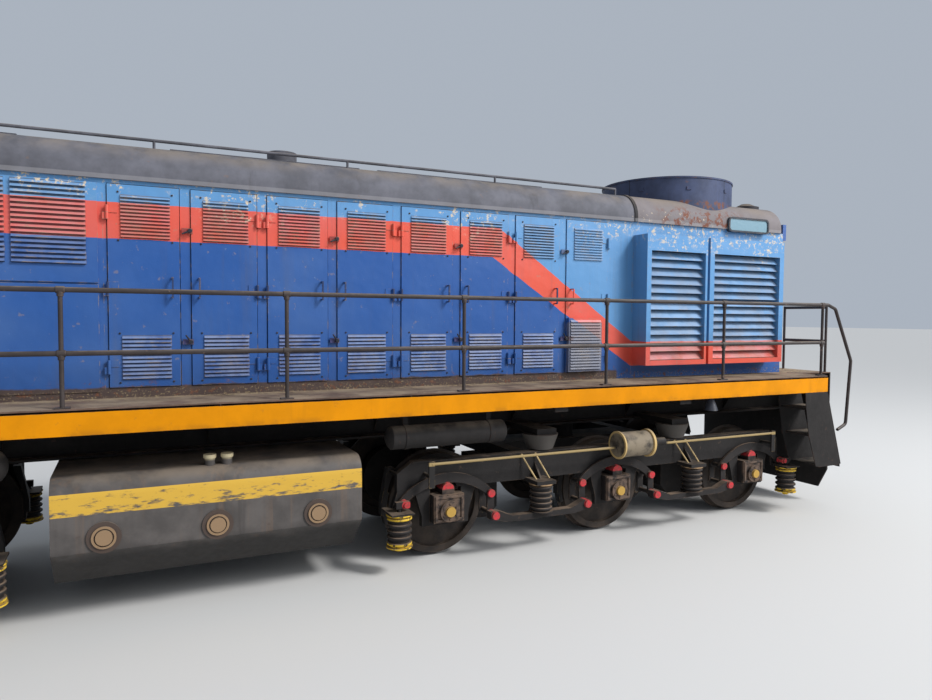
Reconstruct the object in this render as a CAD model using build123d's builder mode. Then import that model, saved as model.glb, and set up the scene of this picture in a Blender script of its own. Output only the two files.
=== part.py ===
from build123d import *
from math import asin, cos, radians, sin
import os

os.makedirs("parts", exist_ok=True)

# Six-axle hood type diesel shunting locomotive. +X points to the radiator end and +Z up. Heights count
# from the flat ground under the wheel flanges, so rail heads would stand at flange_height. Both sides
# are alike, and one side is made and mirrored.

# Length and width of the whole locomotive
coupler_face_x = 8485
beam_face_x = 7875
half_width = 1540
coupler_z = 1088

# Wheels and axles
tread_radius = 525
tread_cone = 4
flange_height = 28
flange_width = 32
rim_width = 135
rim_depth = 70
back_to_back = 1440
hub_radius = 140
hub_overhang = 10
web_thickness = 28
axle_radius = 88
journal_radius = 80
journal_end_y = 1190
axle_spacing = 2100
pivot_x = 4300
wheel_z = tread_radius + flange_height

# Bogie side frames, their pedestals and cross members
side_frame_y = 1030
side_frame_plate = 70
side_frame_top = 1062
side_frame_bottom = 768
side_frame_overhang = 520
side_frame_chamfer = (160, 110)
side_flange_reach = 20
side_flange_plate = 14
pedestal_bottom = 430
pedestal_foot = 85
pedestal_root = 165
tie_bar = 34
saddle_notch = 82
transom_width = 160
transom_depth = 150
transom_drop = 60
bolster_half_width = 250
pivot_pin_radius = 150
pivot_pin_length = 420
pivot_gap = 8

# Axle boxes and the saddles on top of them
axle_box_width = 330
axle_box_z = (440, 718)
axle_box_y = (1010, 1195)
axle_box_gap = 6
cover_radius = 105
cover_out = 30
cap_radius = 50
cap_out = 25
journal_gap = 5
saddle_radius = 65
saddle_z = 765

# Equalisers: arched plates on each side of the side frame, hung on pins
equaliser_inner_y = 985
equaliser_outer_y = 1122
equaliser_plate = 28
crown_top = 930
pin_offset = 482
pin_z = 680
low_pin_z = 470
pin_radius = 26
pin_head_radius = 40
pin_head = 25
eye_radius = 52
link_plate = 20
link_width = 78
beam_y = 1185
beam_width = 90
beam_depth = 60

# Coil springs
spring_y = 1230
spring_radius = 122
spring_wire = 15
spring_turns = 5
guide_radius = 98
seat_radius = 128
seat_plate = 12
mid_spring_z = (457, 735)
end_spring_z = (290, 588)
end_spring_offset = 543
spring_rod = 18
bracket_half = 115
mid_bracket_plate = 40
end_bracket_plate = 18

# Brake gear
block_gap = 10
block_thickness = 42
block_y = (760, 850)
block_half_angle = 17
hanger_pin_offset = 495
hanger_pin_z = 930
hanger_depth = 35
brake_pin_radius = 20
cylinder_y = 1285
cylinder_z = 1085
cylinder_radius = 140
pull_rod_radius = 14
pull_rod_z = 1060
lever_x = 2330
lever_size = (60, 20, 260)
lever_pin_drop = 130

# Traction motors, measured from their axle, and the gear cases beside them
motor_near = 110
motor_far = 900
motor_half_width = 520
motor_z = (230, 800)
motor_chamfer = 110
motor_nose_half_width = 100
gear_case_y = (520, 680)
gear_case_radius = 350
pinion_case_radius = 190
spin_gap = 12

# Underframe, walkway and corner stairs
deck_top = 1785
deck_plate = 12
sill_y = 430
sill_bottom = 1235
sill_flange = 300
plate = 20
fascia_bottom = 1582
fascia_top = 1757
fascia_plate = 8
deck_end_x = 7285
platform_half_width = 1130
outrigger_pitch = 1660
outrigger_count = 4
outrigger_edge = 20
outrigger_root_z = 1457
foot_y = 1400
foot_size = (160, 200)
foot_bottom = 1530
bolster_length = 500
bearing_offset = 930
bearing_y = 1000
bearing_radius = 200
bearing_foot_radius = 144
bearing_foot_z = 1072
bearing_beam = (240, 65)
end_beam_bottom = 900
striker_outside = (420, 400)
striker_inside = (190, 210)
striker_depth = 55
pilot_bottom = 200
pilot_taper = 130
pipe_y = 330
pipe_z = 960
pipe_radius = 21
pipe_length = 80
stair_plate = 10
stair_foot_z = 640
stair_foot_x = (7110, 7575)
stair_treads = (655, 1045, 1385)
tread_depth = 400
tread_plate = 25
tread_inset = 15

# Hood: engine room, generator chamber and rear hood share one section
hood_half_width = 870
hood_wall = 45
hood_sill_z = 1875
hood_eave_z = 3628
roof_crown_z = 3992
roof_edge_z = 3955
roof_shoulder = 285
roof_plate = 30
roof_overhang = 32
cab_front_x = -3000
generator_end_x = -850
engine_room_end_x = 4700
rear_cab_x = -5200
rear_hood_end_x = -7100

# Hood doors
door_count = 8
first_door_x = -816
door_pitch = 655
door_leaf = 560
door_gap = 6
door_thickness = 40
door_proud = 12
door_top_z = 3590
rear_doors = ((-6950, -6950 + door_leaf), (-6290, -6290 + door_leaf))
louvre_x = (100, 485)
louvre_rows = ((1939, 2318, 11), (3143, 3506, 12))  # bottom, top, slats
louvre_proud = 18
louvre_gap = 8
louvre_box_x = (10, 460)
louvre_box_z = (1885, 2490)
louvre_box_proud = 50
louvre_box_border = 20
louvre_box_slats = 17
handle_reach = 60
handle_bar = 14
handle_z = (2650, 2815)
handle_inset = 62
latch_heights = (2260, 3230)
latch_bar = (90, 16, 45)
latch_reach = 78
hinge_radius = 14
hinge_knuckle = 60
hinge_heights = (2050, 2710, 3350)
hinge_clear = 3
hinge_split = 2
strap_plate = 6
strap_length = 80
pillar_strap = 34
hinge_y = hood_half_width + door_proud + hinge_radius + hinge_clear

# Generator chamber: a raised louvre panel over a flat one
generator_panel_x = (-2250, -890)
upper_panel = (2760, 3590, 20)  # bottom, top, how proud
lower_panel = (1843, 2745, 10)
louvre_fields = ((-1500, -976), (-2170, -1545))
louvre_field_z = (2905, 3580)
louvre_count = 17
field_louvre_proud = 22

# Radiator chamber
radiator_end_x = 7200
radiator_box_face = 1120
radiator_box_bottom = 1945
radiator_box_top = 3468
radiator_open_bottom = 2003
radiator_open_top = 3278
radiator_boxes = (  # box from x, box to x, opening from x, opening to x, slats
    (4715, 5640, 4780, 5607, 13),
    (5680, 6940, 5750, 6865, 14),
)
slat_plate = 6
slat_set_back = 30
slat_lean = 70
slat_share = 0.9
slat_foot = 6
slat_seat = 2
core_y = (700, 800)
front_rounding = 110
joint_strip = (40, 12)  # length, how proud
fan_x = 5950
fan_ring_radius = 845
fan_ring_wall = 20
fan_ring_top = 4263
fan_ring_foot = 3815
fan_rim = 10
lug_count = 9
lug_start = -112
lug_z = 4115
lug_size = (20, 60, 40)
spider_arm = (50, 30)
spider_hub = (90, 40)  # radius, height
fan_bearing_z = 3960
fan_gap = 8
fan_hub_radius = 210
fan_hub_height = 150
fan_blades = 8
blade_chord = 250
blade_plate = 12
blade_pitch = 28
blade_root = 30
blade_tip_gap = 25

# Roof fittings
hatches = ((-2500, -1500), (-300, 1500), (1700, 3700))
hatch_half_width = 450
hatch_rise = 45
exhaust_x = 800
exhaust_radius = 150
exhaust_wall = 8
exhaust_height = 170
exhaust_collar = (14, 50)  # how proud, height
stanchions = (-2100, -440, 1330, 3000, 4640)
stanchion_radius = 12
handrail_y = 600
handrail_z = 4045
handrail_radius = 14
vent_x = 6960
vent_y = 450
vent_radius = 170
vent_rim = 45
vent_dome = (150, 60, 45)  # foot radius, top radius, height
vent_sunk = 30

# Cab
cab_half_width = 1528
cab_wall = 60
cab_eave_z = 4150
cab_edge_z = 4450
cab_crown_z = 4600
cab_shoulder = 320
cab_roof_overhang = 60
window_z = (2950, 3750)
side_windows = ((-4950, -4200), (-4000, -3250))
end_window = (960, 1440)
window_frame = 35
glass = 8
door_window_y = (1010, 1330)
door_window_z = (2980, 3720)
cab_door_y = (925, 1425)
cab_door_z = (1810, 3870)
cab_door_gap = 8
cab_door_proud = 10
cab_hinge_heights = (2150, 2850, 3550)
cab_handle_inset = 60

# Fuel tank and air reservoirs
tank_half_length = 1231
tank_half_width = 1400
tank_top = 1225
tank_bottom = 330
tank_face_bottom = 640
tank_shoulder = 150
tank_hangers = (-990, 0, 990)
hanger_pad = 120
port_places = (-864, -17, 827)
port_z = 750
port_radius = 125
port_proud = 12
port_ring = (71, 90)
port_cap = (62, 19)  # radius, how proud
filler_x = (-60, 80)
filler_y = 1240
filler_radius = 42
filler_sunk = 20
filler_height = 60
filler_cap = (52, 30)  # radius, height
reservoir_x = (1500, 2790)
reservoir_y = 1270
reservoir_z = 1345
reservoir_radius = 112
reservoir_dome = 50
reservoir_strap = 50
reservoir_strap_inset = 200

# Engine and generator as one plain block
engine_mid_x = 1900
engine_size = (4900, 1000, 1350)

# Railings
rail_y = 1497
rail_top_z = 2677
rail_mid_z = 2201
rail_radius = 20
post_radius = 17
post_foot = (110, 60, 12)
post_foot_inset = 7
post_pitch = 1665
post_anchor_x = 3873
rear_posts = (-5320, -6260, -7203)
rail_start = 60
rail_bend = 60
end_rail_inner_y = 420
end_rail_outer_y = 1087
end_rail_inset = 60

# Lamps
number_box_x = 6522
number_box_z = 3690
number_box_size = (705, 190, 60)  # length, height, corner radius
number_box_depth = (40, 60)  # into the roof's shoulder, out of the hood's side
number_box_rim = 22
number_box_recess = 12
headlamp_z = 3640
headlamp_radius = 190
marker_y = 700
marker_z = 3300
marker_radius = 90
lamp_depth = 90
lens_recess = 25
lens_share = 0.88
side_lamp_y = 835
side_lamp_bottom = 3540
side_lamp_size = (60, 70, 210)
step_lamp_x = 5430
step_lamp_y = 1430
step_lamp_z = (1430, 1560)
step_lamp_radii = (80, 36)
step_lamp_wall = 14
step_lamp_stem = 30

standing = (Align.CENTER, Align.CENTER, Align.MIN)
hanging = (Align.CENTER, Align.CENTER, Align.MAX)


def save(piece, name):
    # labels one finished node and writes it
    piece.part.label = name
    export_step(piece.part, f"parts/{name}.step")


def side(y):
    # a plane that faces out of the locomotive's right-hand side, at y from the centre line
    return Plane.XZ.offset(y)


def across(x):
    # a plane square to the track at x, its own x along +Y and its own y up
    return Plane.YZ.offset(x)


def level(z):
    return Plane.XY.offset(z)


def span(low, high):
    # centre and length of a stretch
    return (low + high) / 2, high - low


# Main frame: two plate girders, outriggers with their feet, bolsters, side bearings, end beams, pilots
deck_bottom = deck_top - deck_plate
sill_height = deck_bottom - sill_bottom
sill_mid_z = sill_bottom + sill_height / 2
outrigger_end = half_width - fascia_plate
with BuildPart() as main_frame:
    with BuildSketch(across(-beam_face_x)):
        for sill_side in (-1, 1):
            with Locations((sill_side * sill_y, sill_mid_z)):
                Rectangle(plate, sill_height)
            with Locations(
                (sill_side * sill_y, sill_bottom + plate / 2),
                (sill_side * sill_y, deck_bottom - plate / 2),
            ):
                Rectangle(sill_flange, plate)
    extrude(amount=2 * beam_face_x)
    for step in range(-outrigger_count, outrigger_count + 1):
        with BuildSketch(across(step * outrigger_pitch - plate / 4)):
            with BuildLine():
                Polyline(
                    (-outrigger_end, deck_bottom),
                    (-outrigger_end, fascia_bottom + outrigger_edge),
                    (-sill_y - sill_flange / 2, outrigger_root_z),
                    (-sill_y, sill_bottom + plate),
                    (sill_y, sill_bottom + plate),
                    (sill_y + sill_flange / 2, outrigger_root_z),
                    (outrigger_end, fascia_bottom + outrigger_edge),
                    (outrigger_end, deck_bottom),
                    close=True,
                )
            make_face()
        extrude(amount=plate / 2)
        if abs(step) in (2, 3):
            foot_x = step * outrigger_pitch
            with Locations((foot_x, -foot_y, foot_bottom), (foot_x, foot_y, foot_bottom)):
                Box(*foot_size, deck_bottom - foot_bottom, align=standing)
    for end in (-1, 1):
        with Locations((end * pivot_x, 0, sill_bottom)):
            Box(bolster_length, 2 * sill_y, sill_height, align=standing)
            Cylinder(pivot_pin_radius, pivot_pin_length, align=hanging)
        for offset in (-bearing_offset, bearing_offset):
            bearing_x = end * pivot_x + offset
            with Locations((bearing_x, 0, sill_bottom)):
                Box(bearing_beam[0], 2 * (bearing_y + bearing_foot_radius), bearing_beam[1], align=standing)
            with Locations((bearing_x, -bearing_y, bearing_foot_z), (bearing_x, bearing_y, bearing_foot_z)):
                Cone(bearing_foot_radius, bearing_radius, sill_bottom - bearing_foot_z, align=standing)
        with Locations((end * (beam_face_x - plate / 2), 0, end_beam_bottom)):
            Box(plate, 2 * platform_half_width, deck_bottom - end_beam_bottom, align=standing)
        with BuildSketch(across(end * beam_face_x)):
            with Locations((0, coupler_z)):
                Rectangle(*striker_outside)
                Rectangle(*striker_inside, mode=Mode.SUBTRACT)
        extrude(amount=end * striker_depth)
        with BuildSketch(across(end * (beam_face_x - plate))):
            with BuildLine():
                Polyline(
                    (-platform_half_width, end_beam_bottom + plate),
                    (-platform_half_width, pilot_bottom + 2 * pilot_taper),
                    (-platform_half_width + pilot_taper, pilot_bottom),
                    (platform_half_width - pilot_taper, pilot_bottom),
                    (platform_half_width, pilot_bottom + 2 * pilot_taper),
                    (platform_half_width, end_beam_bottom + plate),
                    close=True,
                )
            make_face()
        extrude(amount=end * plate)
        with BuildSketch(across(end * beam_face_x)):
            with Locations((-pipe_y, pipe_z), (pipe_y, pipe_z)):
                Circle(pipe_radius)
        extrude(amount=end * pipe_length)
save(main_frame, "main_frame")

# Couplers: an automatic coupler head with a large and a small tooth, and its shank
head_height = 320
shank = (100, 150, 170)
head_outline = (  # out from the end beam, across the track
    (60, -130), (230, -150), (460, -245), (610, -215), (550, -60), (440, -10),
    (480, 90), (610, 130), (600, 235), (430, 250), (230, 150), (60, 130),
)
with BuildPart() as couplers:
    for end in (1, -1):
        with BuildSketch(level(coupler_z - head_height / 2)):
            with BuildLine():
                Polyline(*[(end * (beam_face_x + out), end * y) for out, y in head_outline], close=True)
            make_face()
        extrude(amount=head_height)
        with Locations((end * (beam_face_x + shank[0] / 2), 0, coupler_z)):
            Box(*shank)
save(couplers, "couplers")

# Walkway deck with the narrower platforms beyond the stairs
with BuildPart() as walkway_deck:
    with BuildSketch(level(deck_bottom)):
        Rectangle(2 * deck_end_x, 2 * outrigger_end)
        Rectangle(2 * beam_face_x, 2 * platform_half_width)
    extrude(amount=deck_plate)
save(walkway_deck, "walkway_deck")

# Fascia along the walkway, returned across its ends
with BuildPart() as walkway_fascia:
    with BuildSketch(level(fascia_bottom)):
        Rectangle(2 * deck_end_x, 2 * half_width)
        Rectangle(2 * (deck_end_x - fascia_plate), 2 * outrigger_end, mode=Mode.SUBTRACT)
        Rectangle(2 * deck_end_x, 2 * platform_half_width, mode=Mode.SUBTRACT)
    extrude(amount=fascia_top - fascia_bottom)
save(walkway_fascia, "walkway_fascia")

# Corner stairs: two raked stringers and three treads at each corner
stair_slope = (stair_foot_x[1] - deck_end_x) / (fascia_bottom - stair_foot_z)
stair_back = ((stair_foot_x[0], stair_foot_z), (6965, 1040), (6905, 1380), (6885, fascia_bottom))
tread_front = (Align.MAX, Align.MAX, Align.MAX)
with BuildPart() as corner_stairs:
    for stringer_y in (platform_half_width, half_width - stair_plate):
        with BuildSketch(side(stringer_y)):
            with BuildLine():
                Polyline(
                    (deck_end_x, fascia_bottom),
                    (stair_foot_x[1], stair_foot_z),
                    *stair_back,
                    close=True,
                )
            make_face()
        extrude(amount=stair_plate)
    for tread_z in stair_treads:
        front_x = deck_end_x + (fascia_bottom - tread_z) * stair_slope - tread_inset
        with Locations((front_x, -platform_half_width, tread_z)):
            Box(tread_depth, half_width - platform_half_width, tread_plate, align=tread_front)
            Box(tread_plate / 2, half_width - platform_half_width, 2 * tread_plate, align=tread_front)
    mirror(about=Plane.XZ)
    mirror(about=Plane.YZ)
save(corner_stairs, "corner_stairs")

# Side railings: long ones along the hood, short ones along the rear hood, each ending in a stair rail
front_posts = [post_anchor_x + post_pitch * step for step in range(-4, 3)]
railing_runs = (  # posts, start of the rails, sign of the end with the stair
    (front_posts, cab_front_x + rail_start, 1),
    (rear_posts, rear_cab_x - rail_start, -1),
)
with BuildPart() as side_railings:
    for posts, start_x, end in railing_runs:
        with BuildSketch(level(deck_top)):
            with Locations([(x, -rail_y) for x in posts]):
                Circle(post_radius)
        extrude(amount=rail_top_z - deck_top)
        with Locations([(x, -rail_y + post_foot_inset, deck_top) for x in posts]):
            Box(*post_foot, align=standing)
        with BuildSketch(across(start_x)):
            with Locations((-rail_y, rail_mid_z)):
                Circle(rail_radius)
        extrude(amount=posts[-1] - start_x)
        with BuildLine() as rail_path:
            FilletPolyline(
                (start_x, -rail_y, rail_top_z),
                (end * 7300, -rail_y, rail_top_z),
                (end * 7440, -rail_y, 2625),
                (end * 7765, -rail_y, 1960),
                (end * 7700, -rail_y, 1140),
                (end * 7545, -rail_y, 1075),
                radius=rail_bend,
            )
        with BuildSketch(across(start_x)):
            with Locations((-rail_y, rail_top_z)):
                Circle(rail_radius)
        sweep(path=rail_path.line)
    mirror(about=Plane.XZ)
save(side_railings, "side_railings")

# End railings across both platforms, open in the middle
with BuildPart() as end_railings:
    for end in (1, -1):
        end_rail_x = end * (beam_face_x - end_rail_inset)
        with BuildSketch(level(deck_top)):
            with Locations((end_rail_x, -end_rail_inner_y), (end_rail_x, -end_rail_outer_y)):
                Circle(post_radius)
        extrude(amount=rail_top_z - deck_top)
        with BuildSketch(side(end_rail_inner_y)):
            with Locations((end_rail_x, rail_top_z - rail_radius), (end_rail_x, rail_mid_z)):
                Circle(rail_radius)
        extrude(amount=end_rail_outer_y - end_rail_inner_y)
    mirror(about=Plane.XZ)
save(end_railings, "end_railings")


def roof_section(x, half_span, bottom, shoulder_z, crown_z, shoulder):
    # closed roof section at x: upright edges, round shoulders and a low crown
    with BuildSketch(across(x)) as section:
        with BuildLine():
            Polyline(
                (-half_span, bottom),
                (-half_span, shoulder_z),
                (0, crown_z),
                (half_span, shoulder_z),
                (half_span, bottom),
                close=True,
            )
        make_face()
        corners = section.vertices().filter_by(lambda corner: abs(corner.Y - shoulder_z) < 1)
        fillet(corners, shoulder)
    return section.sketch


def hinge_side(index):
    # -1 where the hinges are on the low x edge, 1 where they are on the high one
    return -1 if index % 2 == 0 else 1


def fixed_hinges(index, edges):
    # lower knuckles and straps on the pillar beside one leaf, on the right-hand side
    away = hinge_side(index)
    axis_x = edges[0 if away < 0 else 1] + away * door_gap / 2
    for height in hinge_heights:
        with Locations((axis_x, -hinge_y, height)):
            Cylinder(hinge_radius, hinge_knuckle - hinge_split, align=hanging)
        with Locations((axis_x + away * pillar_strap / 2, -hood_half_width, height)):
            Box(pillar_strap, hinge_y - hood_half_width, hinge_knuckle - hinge_split,
                align=(Align.CENTER, Align.MAX, Align.MAX))


def hood_side(low_x, high_x, leaves):
    # one side wall of a hood with its door openings and the fixed halves of their hinges
    mid_x, length = span(low_x, high_x)
    mid_z, height = span(deck_top, hood_eave_z)
    with BuildSketch(side(hood_half_width - hood_wall)) as wall:
        with Locations((mid_x, mid_z)):
            Rectangle(length, height)
        for low, high in leaves:
            with Locations(((low + high) / 2, (hood_sill_z + door_top_z) / 2)):
                Rectangle(
                    high - low + 2 * door_gap,
                    door_top_z - hood_sill_z + 2 * door_gap,
                    mode=Mode.SUBTRACT,
                )
    extrude(wall.sketch, amount=hood_wall)
    for index, leaf_edges in enumerate(leaves):
        fixed_hinges(index, leaf_edges)


def bulkhead(x, thickness):
    # a full cross wall that closes the hood from x on
    with Locations((x + thickness / 2, 0, deck_top)):
        Box(thickness, 2 * hood_half_width, hood_eave_z - deck_top, align=standing)


# Engine room walls
door_lows = [first_door_x + index * door_pitch for index in range(door_count)]
engine_leaves = [(low, low + door_leaf) for low in door_lows]
with BuildPart() as engine_hood_frame:
    hood_side(generator_end_x, engine_room_end_x, engine_leaves)
    mirror(about=Plane.XZ)
    bulkhead(generator_end_x, plate)
    bulkhead(engine_room_end_x - plate, plate)
save(engine_hood_frame, "engine_hood_frame")

# Generator chamber walls with their panels
with BuildPart() as generator_casing:
    with BuildSketch(side(hood_half_width - hood_wall)):
        with Locations(((cab_front_x + generator_end_x) / 2, (deck_top + hood_eave_z) / 2)):
            Rectangle(generator_end_x - cab_front_x, hood_eave_z - deck_top)
    extrude(amount=hood_wall)
    panel_mid_x, panel_length = span(*generator_panel_x)
    for bottom, top, proud in (upper_panel, lower_panel):
        with BuildSketch(side(hood_half_width)):
            with Locations((panel_mid_x, (bottom + top) / 2)):
                Rectangle(panel_length, top - bottom)
        extrude(amount=proud)
    field_bottom, field_top = louvre_field_z
    slat_pitch = (field_top - field_bottom) / louvre_count
    panel_y = -hood_half_width - upper_panel[2]
    for low, high in louvre_fields:
        with BuildSketch(across(low)):
            for step in range(louvre_count):
                foot = field_bottom + step * slat_pitch + louvre_gap
                with BuildLine():
                    Polyline(
                        (panel_y, foot + slat_pitch - louvre_gap),
                        (panel_y - field_louvre_proud, foot),
                        (panel_y, foot),
                        close=True,
                    )
                make_face()
        extrude(amount=high - low)
    mirror(about=Plane.XZ)
save(generator_casing, "generator_casing")

# Hood roof over the generator chamber and the engine room
roof_half_span = hood_half_width + roof_overhang


def hood_section(x, inset):
    # the hood's roof section at x, drawn in by inset
    return roof_section(
        x,
        roof_half_span - inset,
        hood_eave_z,
        roof_edge_z - inset,
        roof_crown_z - inset,
        roof_shoulder - inset,
    )


def roof_shell(low_x, high_x):
    # an open-bottomed roof of plate from low_x to high_x
    extrude(hood_section(low_x, 0), amount=high_x - low_x)
    extrude(hood_section(low_x, roof_plate), amount=high_x - low_x, mode=Mode.SUBTRACT)


def crown_at(y):
    # height of the roof's outside at y, inboard of its shoulders
    return roof_crown_z - (roof_crown_z - roof_edge_z) * abs(y) / roof_half_span


with BuildPart() as hood_roof:
    roof_shell(cab_front_x, engine_room_end_x)
save(hood_roof, "hood_roof")

# Roof fittings: hatches along the crown, the exhaust stack and the handrails
hatch_edge_z = crown_at(hatch_half_width)
exhaust_foot = roof_crown_z + hatch_rise / 2
with BuildPart() as roof_fittings:
    for low, high in hatches:
        with BuildSketch(across(low)):
            with BuildLine():
                Polyline(
                    (-hatch_half_width, hatch_edge_z),
                    (0, roof_crown_z),
                    (hatch_half_width, hatch_edge_z),
                    (hatch_half_width, hatch_edge_z + hatch_rise),
                    (0, roof_crown_z + hatch_rise),
                    (-hatch_half_width, hatch_edge_z + hatch_rise),
                    close=True,
                )
            make_face()
        extrude(amount=high - low)
    with Locations((exhaust_x, 0, exhaust_foot)):
        Cylinder(exhaust_radius, exhaust_height, align=standing)
        Cylinder(exhaust_radius + exhaust_collar[0], exhaust_collar[1], align=standing)
    with Locations((exhaust_x, 0, exhaust_foot + hatch_rise)):
        Cylinder(exhaust_radius - exhaust_wall, exhaust_height, align=standing, mode=Mode.SUBTRACT)
    with BuildSketch(across(stanchions[0])):
        with Locations((-handrail_y, handrail_z)):
            Circle(handrail_radius)
    extrude(amount=stanchions[-1] - stanchions[0])
    stanchion_foot = crown_at(handrail_y - stanchion_radius)
    with Locations([(x, -handrail_y, stanchion_foot) for x in stanchions]):
        Cylinder(stanchion_radius, handrail_z - stanchion_foot, align=standing)
    mirror(about=Plane.XZ)
save(roof_fittings, "roof_fittings")

# Radiator chamber walls, open behind the side boxes, with the radiator cores inside
chamber_mid_x, chamber_length = span(engine_room_end_x, radiator_end_x)
chamber_height = hood_eave_z - deck_top
with BuildPart() as radiator_casing:
    with Locations((chamber_mid_x, 0, deck_top)):
        Box(chamber_length, 2 * hood_half_width, chamber_height, align=standing)
        Box(chamber_length - 2 * hood_wall, 2 * (hood_half_width - hood_wall), chamber_height,
            align=standing, mode=Mode.SUBTRACT)
    for box_low, box_high, low, high, slats in radiator_boxes:
        with Locations(((low + high) / 2, 0, radiator_open_bottom)):
            Box(high - low, 2 * half_width, radiator_open_top - radiator_open_bottom,
                align=standing, mode=Mode.SUBTRACT)
    for core_side in (-1, 1):
        with Locations((chamber_mid_x, core_side * sum(core_y) / 2, radiator_box_bottom)):
            Box(chamber_length - hood_wall, core_y[1] - core_y[0], radiator_box_top - radiator_box_bottom,
                align=standing)
save(radiator_casing, "radiator_casing")

# Radiator roof: plate with a rounded, closed front, a cover strip over the joint, and a domed vent
vent_foot = crown_at(vent_y + vent_radius) - vent_sunk
with BuildPart() as radiator_roof:
    extrude(hood_section(engine_room_end_x, 0), amount=chamber_length)
    front_face = radiator_roof.faces().sort_by(Axis.X)[-1]
    fillet(front_face.edges().filter_by(lambda edge: edge.center().Z > hood_eave_z + 1), front_rounding)
    extrude(hood_section(engine_room_end_x, -joint_strip[1]), amount=joint_strip[0])
    extrude(hood_section(engine_room_end_x, roof_plate), amount=chamber_length - front_rounding,
            mode=Mode.SUBTRACT)
    with Locations((fan_x, 0, roof_crown_z)):
        Cylinder(fan_ring_radius, 2 * (roof_crown_z - hood_eave_z), mode=Mode.SUBTRACT)
    with Locations((vent_x, -vent_y, vent_foot)):
        Cylinder(vent_radius, vent_sunk + vent_rim, align=standing)
    with Locations((vent_x, -vent_y, vent_foot + vent_sunk + vent_rim)):
        Cone(*vent_dome, align=standing)
save(radiator_roof, "radiator_roof")

# Radiator side boxes: deep frames with raked shutter slats
with BuildPart() as radiator_shutters:
    for box_low, box_high, low, high, slats in radiator_boxes:
        with BuildSketch(side(hood_half_width)):
            with Locations(((box_low + box_high) / 2, (radiator_box_bottom + radiator_box_top) / 2)):
                Rectangle(box_high - box_low, radiator_box_top - radiator_box_bottom)
            with Locations(((low + high) / 2, (radiator_open_bottom + radiator_open_top) / 2)):
                Rectangle(high - low, radiator_open_top - radiator_open_bottom, mode=Mode.SUBTRACT)
        extrude(amount=radiator_box_face - hood_half_width)
        slat_pitch = (radiator_open_top - radiator_open_bottom) / slats
        outer_y = -radiator_box_face + slat_set_back
        inner_y = outer_y + slat_lean
        with BuildSketch(across(low - slat_seat)):
            for step in range(slats):
                foot_z = radiator_open_bottom + step * slat_pitch + slat_foot
                head_z = foot_z + slat_pitch * slat_share
                with BuildLine():
                    Polyline(
                        (outer_y, foot_z),
                        (inner_y, head_z),
                        (inner_y + slat_plate, head_z),
                        (outer_y + slat_plate, foot_z),
                        close=True,
                    )
                make_face()
        extrude(amount=high - low + 2 * slat_seat)
    mirror(about=Plane.XZ)
save(radiator_shutters, "radiator_shutters")

# Fan ring on the roof, with its rim, lugs and the spider that carries the fan's bearing
with BuildPart() as fan_ring:
    for bottom, top, rim in (
        (fan_ring_foot, fan_ring_top, 0),
        (fan_ring_top - 2 * fan_rim, fan_ring_top, fan_rim),
    ):
        with BuildSketch(level(bottom)):
            with Locations((fan_x, 0)):
                Circle(fan_ring_radius + rim)
                Circle(fan_ring_radius - fan_ring_wall, mode=Mode.SUBTRACT)
        extrude(amount=top - bottom)
    with Locations((fan_x, 0, lug_z)):
        with PolarLocations(fan_ring_radius, lug_count, start_angle=lug_start):
            Box(*lug_size)
    with Locations((fan_x, 0, fan_bearing_z)):
        Cylinder(*spider_hub, align=hanging)
        Box(2 * fan_ring_radius - fan_ring_wall, *spider_arm, align=hanging)
        Box(spider_arm[0], 2 * fan_ring_radius - fan_ring_wall, spider_arm[1], align=hanging)
save(fan_ring, "fan_ring")

# Cooling fan
fan_foot = fan_bearing_z + fan_gap
blade_length = fan_ring_radius - fan_ring_wall - blade_tip_gap - fan_hub_radius + blade_root
with BuildPart() as cooling_fan:
    with Locations((fan_x, 0, fan_foot)):
        Cylinder(fan_hub_radius, fan_hub_height, align=standing)
    for blade in range(fan_blades):
        turn = radians(blade * 360 / fan_blades)
        blade_plane = Plane(
            origin=(fan_x, 0, fan_foot + fan_hub_height / 2),
            x_dir=(-sin(turn), cos(turn), 0),
            z_dir=(cos(turn), sin(turn), 0),
        )
        with BuildSketch(blade_plane.offset(fan_hub_radius - blade_root)):
            Rectangle(blade_chord, blade_plate, rotation=blade_pitch)
        extrude(amount=blade_length)
save(cooling_fan, "cooling_fan")

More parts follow.
